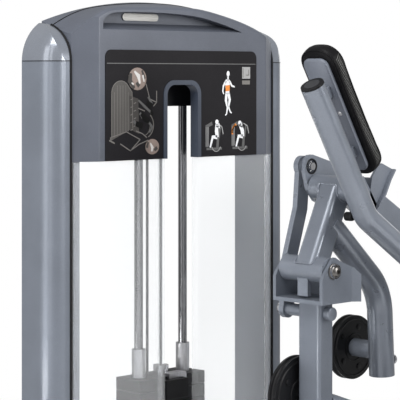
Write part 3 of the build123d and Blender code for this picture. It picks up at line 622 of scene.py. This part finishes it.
def foam_rollers():
    """The two foam foot rollers, each with a plastic end cap on both sides."""
    for name, side in (("near", -1), ("far", 1)):
        centre = at_y(FOOT_ROLLERS, SEAT_Y + side * ROLLER_OFFSET)
        foam = bmesh.new()
        lathe(foam, centre - BACK * 0.08, BACK, [
            (0.020, 0.0, False), (0.038, 0.0, False), (0.046, 0.003, False), (0.0495, 0.009, False),
            (0.050, 0.020, False), (0.0492, 0.080, False), (0.050, 0.140, False),
            (0.0495, 0.151, False), (0.046, 0.157, False), (0.038, 0.160, False), (0.020, 0.160, False),
        ], 56)
        item = add_piece("roller_foam_" + name, foam, "foam_roller", "roller_" + name)
        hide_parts("foot_roller_" + name)
        ends = bmesh.new()
        for facing in (FRONT, BACK):
            cap_head(ends, centre + facing * 0.0795, facing, 0.027, 0.005)
        add_piece("roller_ends_" + name, ends, "black_plastic", "roller_" + name)


def grips():
    """Ribbed rubber sleeves over the upper run of both hand grips."""
    ribs = 22
    for name, side in (("far", 1), ("near", -1)):
        y = SEAT_Y + side * ARM_OFFSET
        start = PIVOT + Vector((0.436, y, 0.110))
        end = PIVOT + Vector((0.420, y, 0.248))
        shape = bmesh.new()
        axis = (end - start).normalized()
        length = (end - start).length
        profile = [(0.0145, 0.0, False), (0.0185, 0.001, False)]
        for i in range(ribs):
            base = 0.004 + (length - 0.012) * i / ribs
            profile.append((0.0172, base, False))
            profile.append((0.0182, base + 0.0018, False))
            profile.append((0.0172, base + 0.0036, False))
        profile.append((0.0185, length - 0.006, False))
        profile.append((0.0185, length - 0.002, False))
        profile.append((0.012, length + 0.003, False))
        lathe(shape, start, axis, profile, 36)
        add_piece("grip_sleeve_" + name, shape, "black_rubber", "arms")


# ---------------------------------------------------------------- upholstery

SLAB_LEVELS = [(0.0, 0.93), (0.12, 0.985), (0.3, 1.0), (0.62, 1.0), (0.82, 0.975), (0.95, 0.92)]
CROWN_INSETS = (0.82, 0.66, 0.5, 0.34, 0.18)


def soft_form(name, outline, thick, crown, turn, body, swell_cap, stands_for):
    """A stuffed form: a rounded slab that cloth simulation swells, held at its flat back."""
    shape = bmesh.new()
    sections = [(scale, height * thick) for height, scale in SLAB_LEVELS]
    for inset in CROWN_INSETS:
        rise = thick * (0.95 + 0.05 * (1 - inset)) + crown * (1 - inset ** 2)
        sections.append((inset, rise))
    rings = []
    for scale, height in sections:
        ring = [turn @ Vector((x * scale, y * scale, height)) for x, y in outline]
        rings.append([shape.verts.new(spot) for spot in ring])
    skin(shape, rings)
    item = add_piece(name, shape, "upholstery", body, smooth_angle=180.0)
    swell(item, turn, thick, swell_cap)
    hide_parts(stands_for)
    return item


VOXEL = 0.005
PRESSURE = 4.0
LAST_FRAME = 20
HELD_SHARE = 0.35


def swell(item, turn, thick, cap):
    """Cloth under pressure, then each point's move is capped and its back kept flat."""
    scene = bpy.context.scene
    remesh = item.modifiers.new("remesh", "REMESH")
    remesh.mode = "VOXEL"
    remesh.voxel_size = VOXEL
    cloth = item.modifiers.new("cloth", "CLOTH")
    cloth.settings.use_pressure = True
    cloth.settings.uniform_pressure_force = PRESSURE
    cloth.settings.effector_weights.gravity = 0.0
    cloth.settings.quality = 5
    graph = bpy.context.evaluated_depsgraph_get()
    cloth.show_viewport = False
    graph.update()
    before = bpy.data.meshes.new_from_object(item.evaluated_get(graph))
    cloth.show_viewport = True
    for step in range(1, LAST_FRAME + 1):
        scene.frame_set(step)
    graph = bpy.context.evaluated_depsgraph_get()
    after = bpy.data.meshes.new_from_object(item.evaluated_get(graph))
    scene.frame_set(1)
    item.modifiers.clear()
    inverse = turn.inverted()
    place = item.matrix_world
    back_to_local = place.inverted()
    for old, new in zip(before.vertices, after.vertices):
        start = inverse @ (place @ old.co)
        end = inverse @ (place @ new.co)
        move = end - start
        if move.length > cap:
            move *= cap / move.length
        end = start + move * min(1.0, max(0.0, start.z / (thick * HELD_SHARE)))
        end.z = max(end.z, 0.0)
        new.co = back_to_local @ (turn @ end)
    materials = list(item.data.materials)
    item.data = after
    item.data.materials.clear()
    for material in materials:
        item.data.materials.append(material)
    item.data.polygons.foreach_set("use_smooth", [True] * len(item.data.polygons))
    finer = item.modifiers.new("finer", "SUBSURF")
    finer.levels = 1
    finer.render_levels = 1


PIPING_STEP = 0.005


def surface_of(form):
    """The finished form, for finding points on it."""
    return BVHTree.FromObject(form, bpy.context.evaluated_depsgraph_get())


def piping(name, form, outline, height, turn, radius, body):
    """A welt cord laid on the finished form all round, at a height above its back."""
    surface = surface_of(form)
    points = []
    for first, second in zip(outline, outline[1:] + outline[:1]):
        a, b = Vector(first), Vector(second)
        steps = max(1, int((b - a).length / PIPING_STEP))
        for k in range(steps):
            spot = a + (b - a) * (k / steps)
            outside = turn @ Vector((spot.x * 1.4, spot.y * 1.4, height))
            inside = turn @ Vector((spot.x * 0.2, spot.y * 0.2, height))
            way = (inside - outside).normalized()
            hit = surface.ray_cast(outside, way)[0]
            if hit is not None:
                points.append(hit - way * radius * 0.25)
    count = len(points)
    smooth = [(points[i - 1] + points[i] * 2 + points[(i + 1) % count]) / 4 for i in range(count)]
    shape = bmesh.new()
    sweep(shape, smooth, radius, True, 8)
    add_piece(name, shape, "upholstery", body, smooth_angle=180.0)


PAD_LEAN = math.radians(31.4)
PAD_FACING = Vector((math.cos(PAD_LEAN), 0, math.sin(PAD_LEAN)))
PAD_DOWN = Vector((math.sin(PAD_LEAN), 0, -math.cos(PAD_LEAN)))
PAD_CENTRE = PIVOT + Vector((0.008, 0, 0.339))
PAD_OFFSET = 0.208
PAD_DEPTH = 0.023
PAD_THICK = 0.036
BACK_PLATE_REAR = -0.0078
ARM_WELT = 0.0017
WELT = 0.0024


def arm_pads():
    """Upper-arm pads: each a cushion on a moulded back plate, with two brackets to its arm."""
    backs = bmesh.new()
    brackets = bmesh.new()
    screws = bmesh.new()
    outline = rounded_outline(0.0465, 0.1525, 0.036)
    for name, side in (("far", 1), ("near", -1)):
        y = SEAT_Y + side * PAD_OFFSET
        turn = placed(at_y(PAD_CENTRE, y) - PAD_FACING * PAD_DEPTH, BACK, -PAD_DOWN)
        form = soft_form(
            "arm_cushion_" + name, outline, PAD_THICK, 0.003, turn, "arms", 0.004, "arm_pad_" + name,
        )
        piping("arm_welt_back_" + name, form, outline, 0.0045, turn, ARM_WELT, "arms")
        piping("arm_welt_front_" + name, form, outline, 0.0290, turn, ARM_WELT, "arms")
        side_stitches("arm_stitches_" + name, form, turn)
        plate(backs, rounded_outline(0.0315, 0.134, 0.017), turn, BACK_PLATE_REAR, 0.0005, 0.0018)
        for across in (-0.016, 0.016):
            button_head(screws, turn @ Vector((across, 0.006, BACK_PLATE_REAR)), -PAD_FACING, 0.0040)
        for along in (0.060, -0.085):
            root = at_y(PAD_CENTRE, y - side * 0.006) - PAD_FACING * PAD_DEPTH - PAD_DOWN * along
            stud = placed(root, BACK, -PAD_DOWN)
            plate(brackets, rounded_outline(0.012, 0.013, 0.003, 3), stud, -0.062, -0.0075, 0.0005)
    plates = add_piece("arm_pad_backs", backs, "pad_back", "arms", smooth_angle=50.0)
    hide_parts("arm_pad_plates")
    add_piece("arm_pad_brackets", brackets, "arm_paint", "arms")
    add_piece("arm_pad_screws", screws, "zinc_steel", "arms")


def seat():
    """A broad cushion that narrows to the front."""
    half_long = 0.158
    narrowing = 0.16
    turn = placed((-0.0075, SEAT_Y, 0.446), (1, 0, 0), (0, 1, 0))
    outline = []
    for x, y in rounded_outline(half_long, 0.146, 0.055, 10):
        outline.append((x, y * (1.0 + narrowing * min(x, 0.0) / half_long)))
    form = soft_form("seat_form", outline, 0.052, 0.004, turn, "seat", 0.010, "seat_cushion")
    piping("seat_welt_low", form, outline, 0.008, turn, WELT, "seat")
    piping("seat_welt_top", form, outline, 0.0445, turn, WELT, "seat")


def back_pad():
    """The upright pad behind the user."""
    turn = placed((0.2255, SEAT_Y, 0.690), FRONT, STRAIGHT_UP)
    outline = rounded_outline(0.126, 0.140, 0.045, 10)
    form = soft_form("back_form", outline, 0.054, 0.004, turn, MACHINE, 0.010, "back_pad")
    piping("back_welt_rear", form, outline, 0.008, turn, WELT, MACHINE)
    piping("back_welt_front", form, outline, 0.0465, turn, WELT, MACHINE)


def side_stitches(name, form, turn):
    """The ribbed fabric strip along both long sides of an arm pad."""
    ribs = 52
    half_run = 0.125
    low, high = 0.0085, 0.0250
    surface = surface_of(form)
    shape = bmesh.new()
    for side in (-1, 1):
        way = (turn.to_3x3() @ Vector((-side, 0, 0))).normalized()
        for i in range(ribs):
            along = -half_run + 2 * half_run * i / (ribs - 1)
            points = []
            for k in range(5):
                height = low + (high - low) * k / 4
                start = turn @ Vector((side * 0.08, along + 0.002 * (k - 2), height))
                hit = surface.ray_cast(start, way)[0]
                if hit is not None:
                    points.append(hit + way * 0.0002)
            if len(points) > 2:
                sweep(shape, points, 0.0012, False, 6)
    add_piece(name, shape, "rib_cloth", "arms", 180.0)


# ---------------------------------------------------------------- placard

PLACARD_X = -0.3025
PRINT_Y = 0.3129
LAYER_STEP = 0.0002
INK_THICK = 0.0001


def ink(name, shapes, material, layer=0):
    """Printed shapes a hair in front of the placard, in layers. Points are mm across and up."""
    shape = bmesh.new()
    face = PRINT_Y - LAYER_STEP * layer
    for outline in shapes:
        points = [(PLACARD_X + across / 1000, up / 1000) for across, up in outline]
        front = [shape.verts.new((x, face - INK_THICK, z)) for x, z in points]
        back = [shape.verts.new((x, face, z)) for x, z in points]
        shape.faces.new(front)
        for i in range(len(points)):
            j = (i + 1) % len(points)
            shape.faces.new((front[i], back[i], back[j], front[j]))
    add_piece(name, shape, material, MACHINE)


def stroke(points, width):
    """Quads along a line of points, as a drawn line."""
    quads = []
    for a, b in zip(points, points[1:]):
        a, b = Vector(a), Vector(b)
        side = (b - a).orthogonal().normalized() * (width / 2)
        reach = (b - a).normalized() * (width / 4)
        quads.append([a - side - reach, b - side + reach, b + side + reach, a + side - reach])
    return quads


def arc(across, up, radius, start, end, count=12):
    """Points along an arc, its angles in degrees."""
    points = []
    for i in range(count + 1):
        angle = math.radians(start + (end - start) * i / count)
        points.append((across + radius * math.cos(angle), up + radius * math.sin(angle)))
    return points


def disc(across, up, radius, stretch=1.0, count=20):
    """A filled round or oval outline."""
    points = []
    for i in range(count):
        angle = 2 * math.pi * i / count
        points.append((across + radius * math.cos(angle), up + stretch * radius * math.sin(angle)))
    return points


def limb(points, widths):
    """A tapering limb as one outline around a centre line."""
    left, right = [], []
    for i, point in enumerate(points):
        a = Vector(points[max(i - 1, 0)])
        b = Vector(points[min(i + 1, len(points) - 1)])
        side = (b - a).orthogonal().normalized() * (widths[i] / 2)
        left.append(Vector(point) + side)
        right.append(Vector(point) - side)
    return [tuple(p) for p in left + right[::-1]]


def print_tower():
    """The tower in the line drawing of the machine, with its base and levers."""
    tower = [(-212, 1086), (-212, 1184)] + arc(-186, 1184, 26, 175, 30, 8)
    tower += [(-154, 1186), (-152, 1110), (-170, 1103)]
    ink("print_tower_body", [tower], "ink_shade")
    ink("print_tower_middle", [[(-162, 1179), (-136, 1172), (-134, 1098), (-160, 1108)]], "ink_deep", 1)
    lines = stroke(tower[:-1], 1.5)
    for x in (-204, -196, -188, -180, -172, -165):
        lines += stroke([(x, 1090 + (x + 212) * 0.3), (x, 1200 if -200 < x < -170 else 1186)], 1.0)
    for step in range(9):
        x, z = -158 + step % 2 * 9, 1106 + step * 8
        lines += stroke([(x, z), (x + 6, z + 2)], 1.8)
    base = [(-215, 1086), (-215, 1092), (-170, 1103), (-131, 1086), (-159, 1063), (-187, 1078)]
    lines += stroke(base, 2.0)
    lines += stroke([(-159, 1063), (-134, 1076), (-108, 1084)], 2.0)
    lines += stroke([(-218, 1086), (-204, 1080)], 3.0)
    lines += stroke([(-114, 1203), (-108, 1186), (-103, 1171), (-83, 1164)], 2.2)
    lines += stroke([(-83, 1188), (-83, 1164), (-92, 1156)], 2.2)
    lines += stroke([(-136, 1152), (-118, 1146)], 2.2)
    lines += stroke(arc(-120, 1116, 28, -62, 48, 12), 2.4)
    lines += stroke(arc(-122, 1114, 20, -70, 30, 10), 1.6)
    lines += stroke([(-142, 1104), (-124, 1098), (-112, 1090)], 2.4)
    ink("print_lines", lines, "ink_dim", 2)


def print_station():
    """The frame and cushions beside the tower in the line drawing."""
    frame_parts = [
        limb([(-136, 1169), (-116, 1154), (-94, 1139)], [4, 6, 4]),
        limb([(-132, 1142), (-124, 1132)], [6, 7]),
        limb([(-108, 1176), (-96, 1160)], [5, 5]), limb([(-150, 1126), (-140, 1116)], [6, 6]),
        limb([(-106, 1122), (-96, 1112), (-104, 1100)], [5, 7, 4]),
    ]
    ink("print_frame_parts", frame_parts, "ink_mid", 3)
    cushions = [
        limb([(-128, 1141), (-114, 1128), (-104, 1124)], [10, 14, 9]),
        limb([(-144, 1120), (-124, 1114)], [11, 14]),
        limb([(-112, 1164), (-98, 1156)], [10, 13]), limb([(-100, 1146), (-94, 1138)], [7, 6]),
    ]
    ink("print_cushions", cushions, "ink_black", 4)


def print_rounds():
    """Two round close-ups beside the line drawing."""
    ink("print_round_details", [disc(-139, 1214, 26, 0.92), disc(-96, 1070, 20, 0.82)], "ink_warm", 3)
    shades = [
        limb([(-158, 1226), (-161, 1210), (-148, 1194)], [8, 13, 7]),
        limb([(-126, 1232), (-118, 1214)], [5, 6]),
        limb([(-142, 1206), (-134, 1198)], [7, 8]), limb([(-108, 1080), (-112, 1068)], [5, 7]),
        limb([(-90, 1062), (-82, 1068)], [6, 8]),
    ]
    ink("print_round_shades", shades, "ink_deep", 4)
    marks = [
        limb([(-148, 1230), (-136, 1220), (-132, 1204)], [4, 10, 4]),
        limb([(-124, 1222), (-120, 1208)], [5, 3]), limb([(-156, 1206), (-150, 1202)], [3, 4]),
        limb([(-102, 1078), (-96, 1068), (-98, 1060)], [3, 8, 4]),
    ]
    ink("print_round_marks", marks, "ink_light", 5)


def print_figure():
    """A plain standing figure with the abdomen marked."""
    figure = [
        disc(136, 1225, 4.8, 1.3), limb([(136, 1219), (135, 1210)], [4.2, 5]),
        limb([(135, 1212), (134, 1200), (134, 1189), (134, 1181)], [13, 14.5, 11.5, 13]),
        limb([(129, 1209), (121, 1198), (119, 1186), (122, 1180)], [5.4, 4.6, 3.8, 3]),
        limb([(141, 1208), (148, 1198), (157, 1196)], [5.4, 4.6, 3.2]),
        limb([(131, 1182), (129, 1166), (134, 1150), (131, 1136), (127, 1133)], [8, 7.4, 5, 3.4, 3]),
        limb([(137, 1182), (141, 1167), (137, 1152), (143, 1140), (147, 1138)], [8, 7, 5, 3.4, 3]),
    ]
    ink("print_figure", figure, "ink_white", 1)
    abdomen = [(127.5, 1199), (141, 1200), (140.5, 1187), (128, 1186)]
    ink("print_figure_mark", [abdomen], "ink_orange", 2)
    ink("print_figure_shade", [limb([(134, 1160), (136, 1150)], [2, 1.6])], "ink_grey", 2)


def print_panel():
    """A small square panel with a tag under it."""
    ink("print_panel", [[(181, 1214), (207, 1214), (207, 1240), (181, 1240)]], "ink_panel", 1)
    panel_lines = stroke([(184, 1217), (184, 1237)], 2.0)
    panel_lines += stroke([(194, 1222), (202, 1222), (202, 1234)], 2.0)
    ink("print_panel_lines", panel_lines, "ink_dim", 2)
    ink("print_tag", [[(181, 1201), (206, 1201), (206, 1210), (181, 1210)]], "ink_dim", 1)


def print_seated_figures():
    """Two plain seated figures on the machine, upright and bowed, with a motion mark."""
    for x, turned in ((94, 0), (176, 1)):
        machine = [
            limb([(x - 24, 1064), (x - 24, 1110), (x - 8, 1116)], [9, 11, 8]),
            limb([(x - 26, 1060), (x + 22, 1060)], [5, 5]),
            limb([(x + 8, 1062), (x + 10, 1084)], [8, 7]),
            limb([(x + 12, 1084), (x + 18, 1112)], [6, 5]),
        ]
        ink("print_machine_%d" % turned, machine, "ink_mid", 1)
        detail = stroke([(x + 10, 1114), (x + 22, 1108), (x + 26, 1092)], 2.4)
        detail += stroke(arc(x + 4, 1068, 14, 200, 340, 8), 2.0)
        for step in (-28, -24, -20):
            detail += stroke([(x + step, 1066), (x + step, 1108)], 0.9)
        ink("print_machine_lines_%d" % turned, detail, "ink_panel", 2)
        bow = 9 if turned else 0
        seated = [
            disc(x + 6 - bow, 1119 - bow * 0.4, 5.2),
            limb([(x + 6 - bow, 1113), (x + 5, 1099), (x + 7, 1085)], [9, 11, 9]),
            limb([(x + 7, 1085), (x - 7, 1086), (x - 12, 1072), (x - 15, 1063)], [9, 8, 5.5, 4.5]),
            limb([(x + 4 - bow, 1110), (x + 14 - bow, 1106), (x + 12 - bow, 1116)], [4.4, 4, 3]),
        ]
        ink("print_seated_%d" % turned, seated, "ink_white", 3)
    ink("print_motion_mark", stroke(arc(166, 1096, 17, 110, 195, 8), 5.0), "ink_orange", 3)


def placard_print():
    """Everything printed on the placard: plain shapes, without words."""
    ink("print_rule", stroke([(-224, 1246.5), (224, 1246.5)], 1.6), "ink_grey")
    print_tower()
    print_station()
    print_rounds()
    print_figure()
    print_panel()
    print_seated_figures()


# ---------------------------------------------------------------- tower details

HOOD_GAP_REACH = 0.3050
HOOD_FRONT_Y = 0.3440
HOOD_BACK_Y = 0.440
SPRING_Z = 1.251
ROOF_SEAM_Y = 0.4085


def hood_gap_painted_shade():
    """Painted shade: a black cord up both sides of the hood and over its roof, standing for the shade
    in the gap there.
    """
    gap = bmesh.new()
    tops = []
    for side in (-1, 1):
        x = TOWER_X + side * HOOD_GAP_REACH
        points = [(x, HOOD_FRONT_Y, 0.100 + 0.02 * i) for i in range(58)]
        for degrees in range(0, 71, 7):
            angle = math.radians(degrees)
            y = HOOD_BACK_Y - (HOOD_BACK_Y - HOOD_FRONT_Y) * math.cos(angle)
            points.append((x, y, SPRING_Z + 0.081 * math.sin(angle)))
        sweep(gap, points, 0.0023, False, 8)
        tops.append(Vector(points[-1]))
    sweep(gap, [tops[0]] + roof_line(120) + [tops[1]], 0.0013, False, 8)
    # The black rubber cord is painted shade for the dark gap, not a part of the hood.
    add_piece("hood_gap_painted_shade", gap, "black_rubber")


def roof_line(steps):
    """Points across the roof, a hair above it."""
    roof = surface_of(frame["nodes"]["hood_shell"])
    half_run = 0.3015
    line = []
    for i in range(steps + 1):
        across = TOWER_X - half_run + 2 * half_run * i / steps
        hit = roof.ray_cast(Vector((across, ROOF_SEAM_Y, 1.6)), -STRAIGHT_UP)[0]
        if hit is not None and hit.z > 1.30:
            line.append(hit + STRAIGHT_UP * 0.0002)
    return line


def cap_seams():
    """The joint between each column and its domed cap."""
    corner = 0.038
    front_y = 0.345
    seams = bmesh.new()
    for side in (-1, 1):
        outer = TOWER_X + side * 0.3565
        inner = TOWER_X + side * 0.3065
        points = [(outer, 0.438 - 0.006 * i, SPRING_Z) for i in range(10)]
        for degrees in range(0, 91, 10):
            angle = math.radians(degrees)
            x = outer - side * corner * (1 - math.cos(angle))
            points.append((x, front_y + corner - corner * math.sin(angle), SPRING_Z))
        points.append((inner, front_y, SPRING_Z))
        sweep(seams, points, 0.0009, False, 6)
    add_piece("cap_seams", seams, "black_rubber")


FEET = (
    (-0.61, -0.455), (-0.61, 0.455), (-0.61, -0.06), (-0.61, 0.2), (0.61, -0.455), (0.61, -0.025),
    (0.023, 0.4), (TOWER_X, 0.4), (-0.179, 0.15), (0.25, SEAT_Y), (-0.4, SEAT_Y),
)


def foot_ribs():
    """Two moulded ribs round each rubber foot."""
    ribs = bmesh.new()
    for x, y in FEET:
        for z in (0.004, 0.0075):
            sweep(ribs, circle_points((x, y, z), STRAIGHT_UP, 0.0298, 40), 0.0009, True, 6)
    add_piece("foot_ribs", ribs, "black_rubber")


def edge_rounds():
    """Small rounds on the CAD parts, so that their edges catch light."""
    sharp = (
        "column_caps", "hood_shell", "shroud_left", "shroud_right", "guide_rods", "stack_cable",
        "return_cable", "placard",
    )
    widths = {"tail_pulley": 0.0015, "post_pulley": 0.0015}
    for name, item in frame["nodes"].items():
        width = 0.0 if name in sharp else widths.get(name, 0.0012)
        for polygon in item.data.polygons:
            polygon.use_smooth = True
        item.data.set_sharp_from_angle(angle=math.radians(28))
        if width > 0:
            bevel = item.modifiers.new("edge", "BEVEL")
            bevel.width = width
            bevel.segments = 2
            bevel.limit_method = "ANGLE"
            bevel.angle_limit = math.radians(38)
            bevel.use_clamp_overlap = True
            bevel.harden_normals = True


edge_rounds()
welds()
crank_welds()
machine_bolts()
seat_bolts()
linkage_fasteners()
arm_plug_centres()
tail_bolt()
pulley_face("tail_pulley", TAIL_WHEEL, 0.071, 0.020, "tail_wheel")
pulley_face("post_pulley", POST_WHEEL, 0.082, 0.022, "post_wheel")
stack_cable()
foam_rollers()
grips()
arm_pads()
seat()
back_pad()
placard_print()
hood_gap_painted_shade()
cap_seams()
foot_ribs()


# ---------------------------------------------------------------- stage

def soft_box(name, at, target, size, power):
    """A plain white area light that faces a point."""
    lamp = bpy.data.lights.new(name, "AREA")
    lamp.shape = "RECTANGLE"
    lamp.size, lamp.size_y = size
    lamp.energy = power
    holder = bpy.data.objects.new(name, lamp)
    bpy.context.scene.collection.objects.link(holder)
    holder.location = at
    holder.rotation_euler = (Vector(target) - Vector(at)).to_track_quat("-Z", "Y").to_euler()


ROOM_DIFFUSE = 0.50
ROOM_GLOSSY = 0.34
ROOM_THROUGH = 1.12


def studio():
    """White to the eye and behind the guards, a dimmer room in what the surfaces reflect."""
    world = bpy.data.worlds.new("studio")
    bpy.context.scene.world = world
    world.use_nodes = True
    nodes, links = world.node_tree.nodes, world.node_tree.links
    back = nodes["Background"]
    back.inputs["Color"].default_value = (1.0, 1.0, 1.0, 1.0)
    path = nodes.new("ShaderNodeLightPath")
    strength = None
    for ray, dimmed in (("Is Glossy Ray", ROOM_GLOSSY), ("Is Diffuse Ray", ROOM_DIFFUSE)):
        step = nodes.new("ShaderNodeMath")
        step.operation = "MULTIPLY_ADD"
        step.inputs[1].default_value = dimmed - 1.0
        step.inputs[2].default_value = 1.0
        links.new(path.outputs[ray], step.inputs[0])
        if strength is not None:
            links.new(strength, step.inputs[2])
        strength = step.outputs["Value"]
    through = nodes.new("ShaderNodeMix")
    through.data_type = "FLOAT"
    through.inputs["B"].default_value = ROOM_THROUGH
    links.new(path.outputs["Is Transmission Ray"], through.inputs["Factor"])
    links.new(strength, through.inputs["A"])
    links.new(through.outputs["Result"], back.inputs["Strength"])


EYE = (-2.9468, -2.3794, 1.22)
EYE_TURN = math.radians(-45)
LENS = 157.05
# Each light: its name, place, target, size in metres, and watts.
LIGHTS = (
    ("key", (-3.3, 0.4, 1.7), (-0.3, 0.0, 0.9), (1.6, 2.4), 25.0),
    ("strip", (-3.0, -1.1, 1.5), (-0.2, 0.0, 0.9), (0.50, 2.8), 9.0),
    ("low", (-2.6, 0.5, 0.25), (-0.2, 0.0, 1.0), (1.4, 0.12), 9.0),
    ("fill", (1.1, -3.4, 1.9), (0.0, 0.0, 0.9), (1.8, 1.8), 88.0),
    ("top", (-1.6, -0.5, 3.1), (-0.1, 0.0, 0.9), (1.6, 1.4), 52.0),
    ("rim", (2.6, 1.2, 1.9), (0.0, 0.0, 0.9), (1.2, 2.2), 7.0),
)
FLOOR_RADIUS = 2.4
FLOOR_DROP = 0.0005


def stage():
    """The camera, the lights and a round pale floor."""
    scene = bpy.context.scene
    scene.view_settings.view_transform = "Standard"
    camera = bpy.data.objects.new("camera", bpy.data.cameras.new("camera"))
    scene.collection.objects.link(camera)
    camera.location = EYE
    camera.rotation_euler = (math.pi / 2, 0.0, EYE_TURN)
    camera.data.lens = LENS
    camera.data.sensor_width = 36.0
    camera.data.shift_y = -0.31
    scene.camera = camera
    studio()
    for row in LIGHTS:
        soft_box(*row)
    mesh = bpy.data.meshes.new("floor")
    grid = bmesh.new()
    bmesh.ops.create_circle(grid, cap_ends=True, segments=128, radius=FLOOR_RADIUS)
    grid.to_mesh(mesh)
    grid.free()
    floor = bpy.data.objects.new("floor", mesh)
    scene.collection.objects.link(floor)
    mesh.materials.append(MAT["floor_paint"])
    floor.location = (0.0, 0.0, -FLOOR_DROP)


stage()
